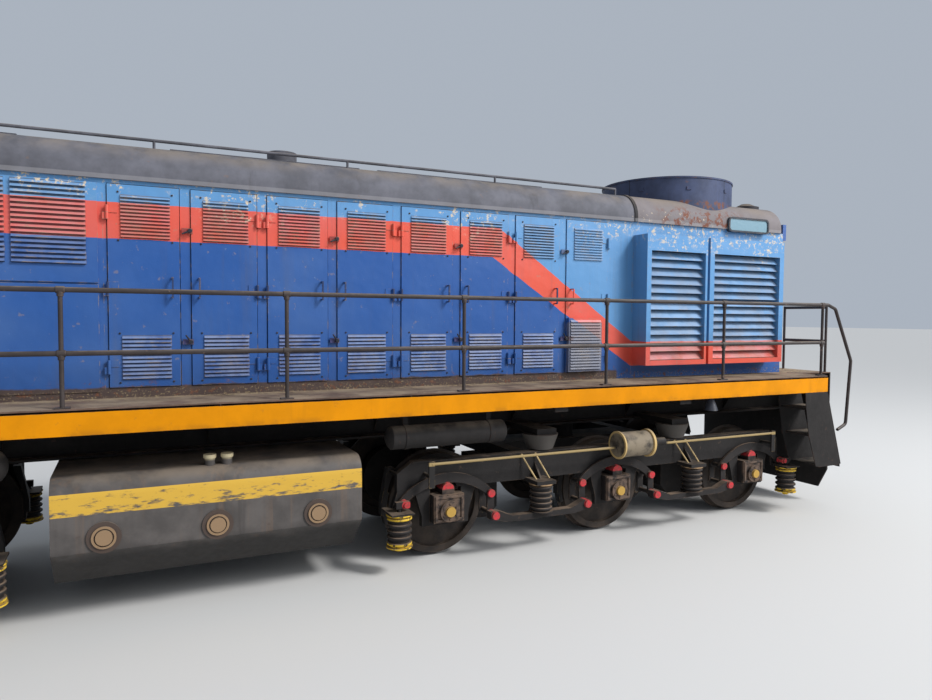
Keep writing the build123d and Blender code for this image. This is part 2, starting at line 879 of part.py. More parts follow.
# Cab: walls with their windows, window frames and doorways
cab_mid_x, cab_length = span(rear_cab_x, cab_front_x)
cab_height = cab_eave_z - deck_top
window_mid_z, window_height = span(*window_z)
cab_ends = ((cab_front_x, 1), (rear_cab_x, -1))
cab_hinge_out = cab_door_proud + hinge_radius + hinge_clear
with BuildPart() as cab_shell:
    with Locations((cab_mid_x, 0, deck_top)):
        Box(cab_length, 2 * cab_half_width, cab_height, align=standing)
    for low, high in side_windows:
        with Locations(((low + high) / 2, 0, window_mid_z)):
            Box(high - low + 2 * window_frame, 2 * half_width, window_height + 2 * window_frame)
    with Locations((cab_mid_x, 0, deck_top + cab_wall)):
        Box(cab_length - 2 * cab_wall, 2 * (cab_half_width - cab_wall), cab_height,
            align=standing, mode=Mode.SUBTRACT)
    for low, high in side_windows:
        with Locations(((low + high) / 2, 0, window_mid_z)):
            Box(high - low, 3 * half_width, window_height, mode=Mode.SUBTRACT)
    for wall_x, out in cab_ends:
        low, high = end_window
        with Locations((wall_x, -out * (low + high) / 2, window_mid_z)):
            Box(3 * cab_wall, high - low, window_height, mode=Mode.SUBTRACT)
        low, high = cab_door_y
        with Locations((wall_x, out * (low + high) / 2, sum(cab_door_z) / 2)):
            Box(
                3 * cab_wall,
                high - low + 2 * cab_door_gap,
                cab_door_z[1] - cab_door_z[0] + 2 * cab_door_gap,
                mode=Mode.SUBTRACT,
            )
        hinge_axis_y = out * (low - cab_door_gap / 2)
        for height in cab_hinge_heights:
            with Locations((wall_x + out * cab_hinge_out, hinge_axis_y, height)):
                Cylinder(hinge_radius, hinge_knuckle - hinge_split, align=hanging)
            with Locations((wall_x, hinge_axis_y - out * pillar_strap / 2, height)):
                Box(2 * cab_hinge_out, pillar_strap, hinge_knuckle - hinge_split, align=hanging)
save(cab_shell, "cab_shell")

with BuildPart() as cab_roof:
    outside = roof_section(rear_cab_x - cab_roof_overhang, half_width, cab_eave_z, cab_edge_z,
                           cab_crown_z, cab_shoulder)
    extrude(outside, amount=cab_length + 2 * cab_roof_overhang)
    inside = roof_section(rear_cab_x + cab_wall, cab_half_width - cab_wall, cab_eave_z,
                          cab_edge_z - cab_wall, cab_crown_z - cab_wall, cab_shoulder - cab_wall)
    extrude(inside, amount=cab_length - 2 * cab_wall, mode=Mode.SUBTRACT)
save(cab_roof, "cab_roof")

# Window glass in the middle of the walls
with BuildPart() as cab_glass:
    for low, high in side_windows:
        with Locations(((low + high) / 2, -cab_half_width + cab_wall / 2, window_mid_z)):
            Box(high - low, glass, window_height)
    mirror(about=Plane.XZ)
    for wall_x, out in cab_ends:
        low, high = end_window
        with Locations((wall_x - out * cab_wall / 2, -out * (low + high) / 2, window_mid_z)):
            Box(glass, high - low, window_height)
save(cab_glass, "cab_glass")

for name, (wall_x, out) in (("cab_door_front", cab_ends[0]), ("cab_door_rear", cab_ends[1])):
    low, high = cab_door_y
    low_z, high_z = cab_door_z
    face_x = wall_x + out * cab_door_proud
    handle_y = out * (high - cab_handle_inset)
    with BuildPart() as cab_door:
        with Locations((face_x - out * cab_wall / 2, out * (low + high) / 2, low_z)):
            Box(cab_wall, high - low, high_z - low_z, align=standing)
        with Locations((wall_x, out * sum(door_window_y) / 2, sum(door_window_z) / 2)):
            Box(3 * cab_wall, door_window_y[1] - door_window_y[0], door_window_z[1] - door_window_z[0],
                mode=Mode.SUBTRACT)
        for height in cab_hinge_heights:
            with Locations((wall_x + out * cab_hinge_out, out * (low - cab_door_gap / 2), height)):
                Cylinder(hinge_radius, hinge_knuckle, align=standing)
            with Locations((face_x + out * strap_plate / 2, out * (low + strap_length / 2), height)):
                Box(strap_plate, strap_length + cab_door_gap, hinge_knuckle, align=standing)
        handle_low, handle_high = handle_z
        for end_z in handle_z:
            with Locations((face_x + out * handle_reach / 2, handle_y, end_z)):
                Box(handle_reach, handle_bar, handle_bar)
        with Locations((face_x + out * handle_reach, handle_y, (handle_low + handle_high) / 2)):
            Box(handle_bar, handle_bar, handle_high - handle_low + handle_bar)
    save(cab_door, name)

# Rear hood over the batteries
with BuildPart() as rear_hood:
    hood_side(rear_hood_end_x, rear_cab_x, rear_doors)
    mirror(about=Plane.XZ)
    bulkhead(rear_hood_end_x, hood_wall)
    roof_shell(rear_hood_end_x, rear_cab_x)
    extrude(hood_section(rear_hood_end_x, 0), amount=roof_plate)
save(rear_hood, "rear_hood")


def door_pattern(hinge_end, boxed):
    # a right-hand leaf with its low edge at x = 0: louvres, handle, latch bars and upper hinge knuckles
    face_y = hood_half_width + door_proud
    axis_x = -door_gap / 2 if hinge_end < 0 else door_leaf + door_gap / 2
    with BuildPart() as leaf:
        with Locations((door_leaf / 2, -face_y + door_thickness / 2, hood_sill_z)):
            Box(door_leaf, door_thickness, door_top_z - hood_sill_z, align=standing)
        fields = [(bottom, top, count, louvre_x, 0) for bottom, top, count in louvre_rows]
        if boxed:
            low, high = louvre_box_x
            bottom, top = louvre_box_z
            with Locations(((low + high) / 2, -face_y - louvre_box_proud / 2, bottom)):
                Box(high - low, louvre_box_proud, top - bottom, align=standing)
            border = louvre_box_border
            fields[0] = (bottom + border, top - border, louvre_box_slats, (low + border, high - border),
                         louvre_box_proud)
        for bottom, top, count, (low, high), proud in fields:
            slat_pitch = (top - bottom) / count
            slat_y = -face_y - proud
            with BuildSketch(across(low)):
                for step in range(count):
                    foot = bottom + step * slat_pitch + louvre_gap
                    with BuildLine():
                        Polyline(
                            (slat_y, foot + slat_pitch - louvre_gap),
                            (slat_y - louvre_proud, foot),
                            (slat_y, foot),
                            close=True,
                        )
                    make_face()
            extrude(amount=high - low)
        for height in hinge_heights:
            with Locations((axis_x, -hinge_y, height)):
                Cylinder(hinge_radius, hinge_knuckle, align=standing)
            with Locations((axis_x - hinge_end * strap_length / 2, -face_y, height)):
                Box(strap_length, strap_plate, hinge_knuckle, align=(Align.CENTER, Align.MAX, Align.MIN))
        handle_x = door_leaf - handle_inset if hinge_end < 0 else handle_inset
        handle_low, handle_high = handle_z
        for end_z in handle_z:
            with Locations((handle_x, -face_y - handle_reach / 2, end_z)):
                Box(handle_bar, handle_reach, handle_bar)
        with Locations((handle_x, -face_y - handle_reach, (handle_low + handle_high) / 2)):
            Box(handle_bar, handle_bar, handle_high - handle_low + handle_bar)
        if hinge_end > 0:
            for height in latch_heights:
                with Locations((-latch_reach, -face_y, height)):
                    Box(*latch_bar, align=(Align.MIN, Align.MAX, Align.CENTER))
    return leaf.part


# Hood doors: hinges on the low and the high x edge in turn, and a deep louvre box on the last one
low_hinged = door_pattern(-1, False)
high_hinged = door_pattern(1, False)
last_door = door_pattern(1, True)
for hood, leaves in (("engine", engine_leaves), ("rear", rear_doors)):
    for index, (low, high) in enumerate(leaves):
        pattern = low_hinged if hinge_side(index) < 0 else high_hinged
        if index == door_count - 1:
            pattern = last_door
        for side_name in ("right", "left"):
            with BuildPart() as door:
                add(pattern.moved(Location((low, 0, 0))))
                if side_name == "left":
                    mirror(about=Plane.XZ, mode=Mode.REPLACE)
            save(door, f"{hood}_door_{side_name}_{index + 1}")

# Fuel tank slung under the frame between the bogies
tank_chine = tank_face_bottom - tank_bottom
with BuildPart() as fuel_tank:
    with BuildSketch(across(-tank_half_length)) as tank_section:
        with BuildLine():
            Polyline(
                (-tank_half_width, tank_face_bottom),
                (-tank_half_width, tank_top),
                (tank_half_width, tank_top),
                (tank_half_width, tank_face_bottom),
                (tank_half_width - tank_chine, tank_bottom),
                (-tank_half_width + tank_chine, tank_bottom),
                close=True,
            )
        make_face()
        corners = tank_section.vertices().filter_by(lambda corner: abs(corner.Y - tank_top) < 1)
        fillet(corners, tank_shoulder)
    extrude(amount=2 * tank_half_length)
    for port_x in port_places:
        with BuildSketch(side(tank_half_width)):
            with Locations((port_x, port_z)):
                Circle(port_radius)
        extrude(amount=port_proud)
        with BuildSketch(side(tank_half_width + port_proud)):
            with Locations((port_x, port_z)):
                Circle(port_ring[1])
                Circle(port_ring[0], mode=Mode.SUBTRACT)
        extrude(amount=port_proud)
        with BuildSketch(side(tank_half_width + port_proud)):
            with Locations((port_x, port_z)):
                Circle(port_cap[0])
        extrude(amount=port_cap[1])
    with Locations([(x, -filler_y, tank_top - filler_sunk) for x in filler_x]):
        Cylinder(filler_radius, filler_sunk + filler_height, align=standing)
    with Locations([(x, -filler_y, tank_top + filler_height) for x in filler_x]):
        Cylinder(*filler_cap, align=standing)
    mirror(about=Plane.XZ)
    for hanger_x in tank_hangers:
        with Locations((hanger_x, -sill_y, tank_top), (hanger_x, sill_y, tank_top)):
            Box(hanger_pad, hanger_pad, sill_bottom - tank_top, align=standing)
save(fuel_tank, "fuel_tank")

# Air reservoirs under the walkway: cylinders with domed ends in strap hangers
dome_radius = (reservoir_radius**2 + reservoir_dome**2) / (2 * reservoir_dome)
half_dome = asin(reservoir_radius / dome_radius) / 2
haunch_x = dome_radius * (1 - cos(half_dome))
haunch_z = reservoir_z + dome_radius * sin(half_dome)
with BuildPart() as air_reservoirs:
    top_z = reservoir_z + reservoir_radius
    low, high = reservoir_x
    with BuildSketch(side(reservoir_y)):
        with BuildLine():
            Line((low, reservoir_z), (high, reservoir_z))
            ThreePointArc((high, reservoir_z), (high - haunch_x, haunch_z), (high - reservoir_dome, top_z))
            Line((high - reservoir_dome, top_z), (low + reservoir_dome, top_z))
            ThreePointArc((low + reservoir_dome, top_z), (low + haunch_x, haunch_z), (low, reservoir_z))
        make_face()
    revolve(axis=Axis((low, -reservoir_y, reservoir_z), (1, 0, 0)))
    for strap_x in (low + reservoir_strap_inset, high - reservoir_strap_inset):
        with BuildSketch(across(strap_x - reservoir_strap / 2)):
            with Locations((-reservoir_y, reservoir_z)):
                Circle(reservoir_radius + strap_plate)
        extrude(amount=reservoir_strap)
        with Locations((strap_x, -reservoir_y, reservoir_z)):
            Box(reservoir_strap, 2 * strap_plate, deck_bottom - reservoir_z, align=standing)
    mirror(about=Plane.XZ)
    mirror(about=Plane.YZ)
save(air_reservoirs, "air_reservoirs")

# Lamps: number boxes on the roof shoulders, side lamps, headlamps, markers, lamps under the walkway
box_length, box_height, box_corner = number_box_size
box_in, box_out = number_box_depth
lens_offsets = ((0, headlamp_z, headlamp_radius), (-marker_y, marker_z, marker_radius),
                (marker_y, marker_z, marker_radius))
with BuildPart() as lamps:
    with BuildSketch(side(hood_half_width - box_in)):
        with Locations((number_box_x, number_box_z)):
            RectangleRounded(box_length, box_height, box_corner)
    extrude(amount=box_in + box_out)
    with BuildSketch(side(hood_half_width + box_out - number_box_recess)):
        with Locations((number_box_x, number_box_z)):
            RectangleRounded(box_length - 2 * number_box_rim, box_height - 2 * number_box_rim,
                             box_corner - number_box_rim)
    extrude(amount=number_box_recess, mode=Mode.SUBTRACT)
    stem_bottom = step_lamp_z[1] - step_lamp_wall
    with Locations((step_lamp_x, -step_lamp_y, step_lamp_z[0])):
        Cone(*step_lamp_radii, step_lamp_z[1] - step_lamp_z[0], align=standing)
        Cone(step_lamp_radii[0] - step_lamp_wall, step_lamp_radii[1] - step_lamp_wall,
             stem_bottom - step_lamp_z[0], align=standing, mode=Mode.SUBTRACT)
    with Locations((step_lamp_x, -step_lamp_y, stem_bottom)):
        Box(step_lamp_stem, step_lamp_stem, deck_bottom - stem_bottom, align=standing)
    mirror(about=Plane.XZ)
    extrude(hood_section(engine_room_end_x, 0), amount=chamber_length, mode=Mode.SUBTRACT)
    with Locations((chamber_mid_x, 0, deck_top)):
        Box(chamber_length, 2 * hood_half_width, chamber_height, align=standing, mode=Mode.SUBTRACT)
    with Locations((radiator_end_x + side_lamp_size[0] / 2, -side_lamp_y, side_lamp_bottom),
                   (radiator_end_x + side_lamp_size[0] / 2, side_lamp_y, side_lamp_bottom)):
        Box(*side_lamp_size, align=standing)
    for end_x, end in ((radiator_end_x, 1), (rear_hood_end_x, -1)):
        for lamp_y, lamp_z, radius in lens_offsets:
            with BuildSketch(across(end_x)):
                with Locations((lamp_y, lamp_z)):
                    Circle(radius)
            extrude(amount=end * lamp_depth)
            with BuildSketch(across(end_x + end * (lamp_depth - lens_recess))):
                with Locations((lamp_y, lamp_z)):
                    Circle(radius * lens_share)
            extrude(amount=end * lens_recess, mode=Mode.SUBTRACT)
save(lamps, "lamps")

with BuildPart() as engine_block:
    with Locations((engine_mid_x, 0, deck_top)):
        Box(*engine_size, align=standing)
save(engine_block, "engine_block")

# Bogies, made about the pivot at x = 0 and then set at both pivots
axle_offsets = (-axle_spacing, 0, axle_spacing)
mid_offsets = (-axle_spacing / 2, axle_spacing / 2)
motor_hands = (1, 1, -1)  # the side of its axle on which each motor hangs
frame_end = axle_spacing + side_frame_overhang
half_opening = axle_box_width / 2 + axle_box_gap
transom_top = side_frame_top - transom_drop
transom_bottom = transom_top - transom_depth
end_spring_x = axle_spacing + end_spring_offset
web_outside = side_frame_y + side_frame_plate


def pedestal_outline(axle_x, hand):
    # one pedestal leg, wide at its root and closed below by half of the tie bar
    foot = half_opening + pedestal_foot
    root = half_opening + pedestal_root
    bottom = pedestal_bottom - tie_bar
    with BuildLine() as outline:
        Polyline(
            (axle_x, bottom),
            (axle_x + hand * foot, bottom),
            (axle_x + hand * foot, pedestal_bottom + 2 * tie_bar),
            (axle_x + hand * root, side_frame_bottom + 1),
            (axle_x + hand * half_opening, side_frame_bottom + 1),
            (axle_x + hand * half_opening, pedestal_bottom),
            (axle_x, pedestal_bottom),
            close=True,
        )
    return outline.line


def side_frame_outline():
    # one cast side frame with its pedestals and the notches over the saddles
    chamfer_x, chamfer_z = side_frame_chamfer
    with BuildSketch(side(side_frame_y)) as outline:
        with BuildLine():
            Polyline(
                (-frame_end, side_frame_bottom),
                (frame_end, side_frame_bottom),
                (frame_end, side_frame_top - chamfer_z),
                (frame_end - chamfer_x, side_frame_top),
                (-frame_end + chamfer_x, side_frame_top),
                (-frame_end, side_frame_top - chamfer_z),
                close=True,
            )
        make_face()
        for axle_x in axle_offsets:
            for hand in (-1, 1):
                with BuildLine():
                    add(pedestal_outline(axle_x, hand))
                make_face()
            with BuildLine():
                Polyline(
                    (axle_x - 2 * saddle_radius, side_frame_bottom - 1),
                    (axle_x - 1.3 * saddle_radius, side_frame_bottom + saddle_notch),
                    (axle_x + 1.3 * saddle_radius, side_frame_bottom + saddle_notch),
                    (axle_x + 2 * saddle_radius, side_frame_bottom - 1),
                    close=True,
                )
            make_face(mode=Mode.SUBTRACT)
    return outline.sketch


def spring_shelf(x, bottom, thickness):
    # a shelf that stands out of the side frame over one spring
    with Locations((x, -(side_frame_y + spring_y + bracket_half) / 2, bottom)):
        Box(2 * bracket_half, spring_y + bracket_half - side_frame_y, thickness, align=standing)


with BuildPart() as bogie_frame:
    extrude(side_frame_outline(), amount=side_frame_plate)
    with BuildSketch(side(side_frame_y - side_flange_reach)):
        with Locations((0, side_frame_top - side_flange_plate / 2)):
            Rectangle(2 * (frame_end - side_frame_chamfer[0]), side_flange_plate)
    extrude(amount=side_frame_plate + 2 * side_flange_reach)
    mid_shelf = mid_spring_z[1] + seat_plate
    for offset in mid_offsets:
        spring_shelf(offset, mid_shelf, mid_bracket_plate)
        with BuildSketch(across(offset - plate / 2)):
            with BuildLine():
                Polyline(
                    (-web_outside, mid_shelf + mid_bracket_plate),
                    (-spring_y, mid_shelf + mid_bracket_plate),
                    (-web_outside, side_frame_top - bracket_half),
                    close=True,
                )
            make_face()
        extrude(amount=plate)
    end_shelf = end_spring_z[1] + seat_plate
    for end in (-1, 1):
        with BuildSketch(side(side_frame_y)):
            with BuildLine():
                Polyline(
                    (end * (frame_end - bracket_half), side_frame_bottom + 1),
                    (end * frame_end, side_frame_bottom + 1),
                    (end * (frame_end + bracket_half / 2), end_shelf),
                    (end * (frame_end - bracket_half), end_shelf),
                    close=True,
                )
            make_face()
            with Locations((end * (axle_spacing + pin_offset), pin_z)):
                Circle(pin_radius + pivot_gap, mode=Mode.SUBTRACT)
        extrude(amount=side_frame_plate)
        spring_shelf(end * end_spring_x, end_shelf, end_bracket_plate)
        with Locations((end * end_spring_x, -spring_y, end_shelf)):
            Cylinder(spring_rod + pivot_gap, 3 * end_bracket_plate, mode=Mode.SUBTRACT)
    mirror(about=Plane.XZ)
    for offset in mid_offsets:
        with Locations((offset, 0, transom_top)):
            Box(transom_width, 2 * side_frame_y, transom_depth, align=hanging)
    with Locations((0, 0, transom_top)):
        Box(axle_spacing - transom_width, 2 * bolster_half_width, transom_depth, align=hanging)
        Cylinder(pivot_pin_radius + pivot_gap, 3 * transom_depth, mode=Mode.SUBTRACT)
    motor_bottom, motor_top = motor_z
    for axle_x, hand in zip(axle_offsets, motor_hands):
        near = axle_x + hand * motor_near
        far = axle_x + hand * motor_far
        bevel = hand * motor_chamfer
        with BuildSketch(side(-motor_half_width)):
            with BuildLine():
                Polyline(
                    (near, motor_bottom + motor_chamfer),
                    (near + bevel, motor_bottom),
                    (far - bevel, motor_bottom),
                    (far, motor_bottom + motor_chamfer),
                    (far, motor_top - motor_chamfer),
                    (far - bevel, motor_top),
                    (near + bevel, motor_top),
                    (near, motor_top - motor_chamfer),
                    close=True,
                )
            make_face()
        extrude(amount=2 * motor_half_width)
        with Locations((far, 0, motor_top - motor_chamfer)):
            Box(2 * transom_width, 2 * motor_nose_half_width,
                transom_bottom + plate - motor_top + motor_chamfer, align=standing)
        with BuildSketch(side(-gear_case_y[1])):
            with Locations((axle_x, wheel_z)):
                Circle(gear_case_radius)
            with Locations((axle_x + hand * gear_case_radius, wheel_z)):
                Circle(pinion_case_radius)
            with Locations((axle_x, wheel_z)):
                Circle(axle_radius + spin_gap, mode=Mode.SUBTRACT)
        extrude(amount=gear_case_y[1] - gear_case_y[0])


def coil_spring(low, high):
    # a coil spring about the Z axis: its turns stand out as rings from the guide tube inside
    pitch = (high - low) / spring_turns
    with BuildPart() as spring:
        with BuildSketch(Plane.XZ):
            with Locations((guide_radius / 2, (low + high) / 2)):
                Rectangle(guide_radius, high - low)
            for turn in range(spring_turns):
                with Locations((spring_radius - spring_wire, low + (turn + 0.5) * pitch)):
                    Circle(spring_wire)
        revolve(axis=Axis.Z)
    return spring.part


def equaliser_outline(plane, axle_x):
    # one arched plate with an eye at each end, resting on the saddle
    outer = pin_offset + eye_radius
    inner = pin_offset - eye_radius
    with BuildSketch(plane) as outline:
        with BuildLine():
            ThreePointArc((axle_x - outer, pin_z), (axle_x, crown_top), (axle_x + outer, pin_z))
            ThreePointArc((axle_x + outer, pin_z), (axle_x + pin_offset, pin_z - eye_radius),
                          (axle_x + inner, pin_z))
            ThreePointArc((axle_x + inner, pin_z), (axle_x, saddle_z + saddle_radius),
                          (axle_x - inner, pin_z))
            ThreePointArc((axle_x - inner, pin_z), (axle_x - pin_offset, pin_z - eye_radius),
                          (axle_x - outer, pin_z))
        make_face()
    return outline.sketch


def pin_along(x, z, low_y, high_y, radius):
    # a round pin across the locomotive on the right-hand side
    with BuildSketch(side(low_y)) as section:
        with Locations((x, z)):
            Circle(radius)
    extrude(section.sketch, amount=high_y - low_y)


# Axle boxes, saddles, equalisers, links, beams and springs
inner_link_y = equaliser_inner_y - link_plate
outer_link_y = equaliser_outer_y + equaliser_plate
pin_head_y = outer_link_y + link_plate
beam_out_y = beam_y + beam_width
mid_spring = coil_spring(*mid_spring_z)
end_spring = coil_spring(*end_spring_z)
springs = []
with BuildPart() as axle_gear:
    for axle_x in axle_offsets:
        box_in_y, box_out_y = axle_box_y
        box_bottom, box_top = axle_box_z
        with Locations((axle_x, -(box_in_y + box_out_y) / 2, box_bottom)):
            Box(axle_box_width, box_out_y - box_in_y, box_top - box_bottom, align=standing)
        pin_along(axle_x, wheel_z, box_out_y, box_out_y + cover_out, cover_radius)
        pin_along(axle_x, wheel_z, box_out_y + cover_out, box_out_y + cover_out + cap_out, cap_radius)
        with BuildSketch(side(box_in_y)):
            with Locations((axle_x, wheel_z)):
                Circle(journal_radius + journal_gap)
        extrude(amount=journal_end_y + journal_gap - box_in_y, mode=Mode.SUBTRACT)
        with BuildSketch(side(equaliser_inner_y)):
            with Locations((axle_x, saddle_z)):
                Circle(saddle_radius)
            with Locations((axle_x, (box_top + saddle_z) / 2)):
                Rectangle(2 * saddle_radius, saddle_z - box_top)
        extrude(amount=pin_head_y - equaliser_inner_y)
        for plate_y in (equaliser_inner_y, equaliser_outer_y):
            extrude(equaliser_outline(side(plate_y), axle_x), amount=equaliser_plate)
        for hand in (-1, 1):
            x = axle_x + hand * pin_offset
            at_end = abs(x) > axle_spacing
            pin_along(x, pin_z, inner_link_y, beam_out_y if at_end else pin_head_y, pin_radius)
            pin_along(x, pin_z, pin_head_y, pin_head_y + pin_head, pin_head_radius)
            if at_end:
                continue
            pin_along(x, low_pin_z, inner_link_y, beam_out_y, pin_radius)
            pin_along(x, low_pin_z, beam_out_y, beam_out_y + pin_head, pin_head_radius)
            for plate_y in (inner_link_y, outer_link_y):
                with BuildSketch(side(plate_y)):
                    with Locations((x, (pin_z + low_pin_z) / 2)):
                        SlotCenterToCenter(pin_z - low_pin_z, link_width, rotation=90)
                extrude(amount=link_plate)
    for offset in mid_offsets:
        reach = axle_spacing / 2 - pin_offset
        seat_z = mid_spring_z[0] - seat_plate
        with BuildSketch(side(beam_y)):
            with BuildLine():
                Polyline(
                    (offset - reach - eye_radius, low_pin_z - pin_head_radius),
                    (offset - reach + 3 * eye_radius, seat_z - beam_depth),
                    (offset + reach - 3 * eye_radius, seat_z - beam_depth),
                    (offset + reach + eye_radius, low_pin_z - pin_head_radius),
                    (offset + reach + eye_radius, low_pin_z + pin_head_radius),
                    (offset + reach - eye_radius, low_pin_z + pin_head_radius),
                    (offset + reach - 4 * eye_radius, seat_z),
                    (offset - reach + 4 * eye_radius, seat_z),
                    (offset - reach + eye_radius, low_pin_z + pin_head_radius),
                    (offset - reach - eye_radius, low_pin_z + pin_head_radius),
                    close=True,
                )
            make_face()
        extrude(amount=beam_width)
        with Locations((offset, -spring_y, seat_z), (offset, -spring_y, mid_spring_z[1])):
            Cylinder(seat_radius, seat_plate, align=standing)
        springs.append(mid_spring.moved(Location((offset, -spring_y, 0))))
    for end in (-1, 1):
        hung_x = end * end_spring_x
        low, high = end_spring_z
        with Locations((hung_x, -spring_y, low - seat_plate), (hung_x, -spring_y, high)):
            Cylinder(seat_radius, seat_plate, align=standing)
        with Locations((hung_x, -spring_y, low - seat_plate)):
            Cylinder(2 * spring_rod, 2 * spring_rod, align=hanging)
        with Locations((hung_x, -spring_y, low - seat_plate - spring_rod)):
            Cylinder(spring_rod, pin_z - low + seat_plate + spring_rod, align=standing)
        springs.append(end_spring.moved(Location((hung_x, -spring_y, 0))))
        arm_mid_x = end * (axle_spacing + (pin_offset + end_spring_offset) / 2)
        with Locations((arm_mid_x, -spring_y, pin_z)):
            Box(end_spring_offset - pin_offset + 2 * pin_head_radius, 3 * spring_rod, 1.6 * pin_head_radius)
    add(springs)
    mirror(about=Plane.XZ)

# Brake gear: a cylinder and pull rods on each side frame, and hung blocks on both sides of every wheel
shoe_radius = tread_radius + block_gap
shoe_back = shoe_radius + block_thickness
cylinder_profile = (  # x from the pivot, radius
    (-100, 0), (-100, 155), (-82, 155), (-82, cylinder_radius), (300, cylinder_radius), (300, 157),
    (330, 157), (330, 120), (450, 45), (560, 45), (560, 0),
)
cylinder_bracket = (10, 220, 60, 60)  # from x, length, height, below the cylinder's middle
with BuildPart() as brake_gear:
    with BuildSketch(side(cylinder_y)):
        with BuildLine():
            Polyline(*[(x, cylinder_z + radius) for x, radius in cylinder_profile], close=True)
        make_face()
    revolve(axis=Axis((0, -cylinder_y, cylinder_z), (1, 0, 0)))
    bracket_x, bracket_length, bracket_height, bracket_drop = cylinder_bracket
    bracket_spot = (bracket_x + bracket_length / 2, -(web_outside + cylinder_y) / 2, cylinder_z - bracket_drop)
    with Locations(bracket_spot):
        Box(bracket_length, cylinder_y - web_outside, bracket_height, align=hanging)
    with BuildSketch(across(-lever_x)):
        with Locations((-cylinder_y, pull_rod_z)):
            Circle(pull_rod_radius)
    extrude(amount=2 * lever_x)
    for end in (-1, 1):
        with Locations((end * lever_x, -cylinder_y, pull_rod_z + 2 * pull_rod_radius)):
            Box(*lever_size, align=hanging)
        pin_along(end * lever_x, pull_rod_z - lever_pin_drop, web_outside, cylinder_y, brake_pin_radius)
    for axle_x in axle_offsets:
        for hand in (-1, 1):
            first_angle = -block_half_angle if hand > 0 else 180 - block_half_angle
            pin_x = axle_x + hand * hanger_pin_offset
            back_x = axle_x + hand * (shoe_back - hanger_depth / 2)
            far_x = axle_x + hand * (shoe_back + hanger_depth / 2)
            with BuildSketch(side(block_y[0])):
                with BuildLine():
                    inner = CenterArc((axle_x, wheel_z), shoe_radius, first_angle, 2 * block_half_angle)
                    outer = CenterArc((axle_x, wheel_z), shoe_back, first_angle, 2 * block_half_angle)
                    Line(inner @ 0, outer @ 0)
                    Line(inner @ 1, outer @ 1)
                make_face()
                with BuildLine():
                    Polyline(
                        (pin_x - hand * hanger_depth, hanger_pin_z + hanger_depth),
                        (pin_x + hand * hanger_depth, hanger_pin_z + hanger_depth),
                        (far_x, wheel_z + 2 * hanger_depth),
                        (far_x, wheel_z - 2 * hanger_depth),
                        (back_x, wheel_z - 2 * hanger_depth),
                        (back_x, wheel_z + 2 * hanger_depth),
                        close=True,
                    )
                make_face()
            extrude(amount=block_y[1] - block_y[0])
            pin_along(pin_x, hanger_pin_z, block_y[1], side_frame_y, brake_pin_radius)
    mirror(about=Plane.XZ)

# Wheelset: one axle with its two wheels, flanges inside, made about the axle's centre
wheel_in = back_to_back / 2
wheel_out = wheel_in + rim_width
web_mid = wheel_in + rim_width * 0.55
rim_inner = tread_radius - rim_depth
flange_tip = tread_radius + flange_height
with BuildPart() as wheelset:
    with BuildSketch(Plane.YZ):
        with BuildLine():
            Polyline(
                (0, 0),
                (0, axle_radius),
                (wheel_in - hub_overhang, axle_radius),
                (wheel_in - hub_overhang, hub_radius),
                (web_mid - web_thickness / 2, hub_radius),
                (web_mid - web_thickness / 2, rim_inner),
                (wheel_in, rim_inner),
                (wheel_in, flange_tip - flange_width / 4),
                (wheel_in + flange_width / 4, flange_tip),
                (wheel_in + flange_width / 2, flange_tip),
                (wheel_in + flange_width, tread_radius + tread_cone),
                (wheel_out, tread_radius - tread_cone),
                (wheel_out, rim_inner),
                (web_mid + web_thickness / 2, rim_inner),
                (web_mid + web_thickness / 2, hub_radius),
                (wheel_out + hub_overhang, hub_radius),
                (wheel_out + hub_overhang, journal_radius),
                (journal_end_y, journal_radius),
                (journal_end_y, 0),
                close=True,
            )
        make_face()
    revolve(axis=Axis.Y)
    mirror(about=Plane.XZ)

bogie_pieces = (("bogie_frame", bogie_frame), ("axle_gear", axle_gear), ("brake_gear", brake_gear))
for bogie_name, centre_x in (("front", pivot_x), ("rear", -pivot_x)):
    for piece_name, pattern in bogie_pieces:
        with BuildPart() as placed:
            add(pattern.part.moved(Location((centre_x, 0, 0))))
        save(placed, f"{bogie_name}_{piece_name}")
    for number, offset in enumerate(axle_offsets, start=1):
        with BuildPart() as placed:
            add(wheelset.part.moved(Location((centre_x + offset, 0, wheel_z))))
        save(placed, f"{bogie_name}_wheelset_{number}")
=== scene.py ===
import math

import bpy
from mathutils import Matrix, Vector


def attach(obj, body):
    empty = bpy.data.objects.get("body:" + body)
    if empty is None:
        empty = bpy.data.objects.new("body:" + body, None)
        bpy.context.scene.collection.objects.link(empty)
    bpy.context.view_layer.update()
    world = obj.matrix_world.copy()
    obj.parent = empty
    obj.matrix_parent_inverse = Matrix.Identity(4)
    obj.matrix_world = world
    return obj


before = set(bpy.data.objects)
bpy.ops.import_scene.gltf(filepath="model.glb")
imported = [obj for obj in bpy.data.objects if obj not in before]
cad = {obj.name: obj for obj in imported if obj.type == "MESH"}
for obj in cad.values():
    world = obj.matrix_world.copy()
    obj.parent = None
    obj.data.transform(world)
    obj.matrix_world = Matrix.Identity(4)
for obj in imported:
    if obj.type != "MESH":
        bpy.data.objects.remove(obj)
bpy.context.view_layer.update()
print("frame loaded:", len(cad), "nodes")

pivotX = 4.3
bogies = (("front", pivotX), ("rear", -pivotX))
axleSpacing = 2.1
sides = (("right", 1), ("left", -1))         # name and what turns a right-hand y into this side's
doorRow = {
    "firstX": -0.816,                        # low edge of the first engine room door
    "pitch": 0.655,
    "count": 8,
    "rearX": (-6.950, -6.290),               # low edges of the rear hood's doors
}


# Shader building

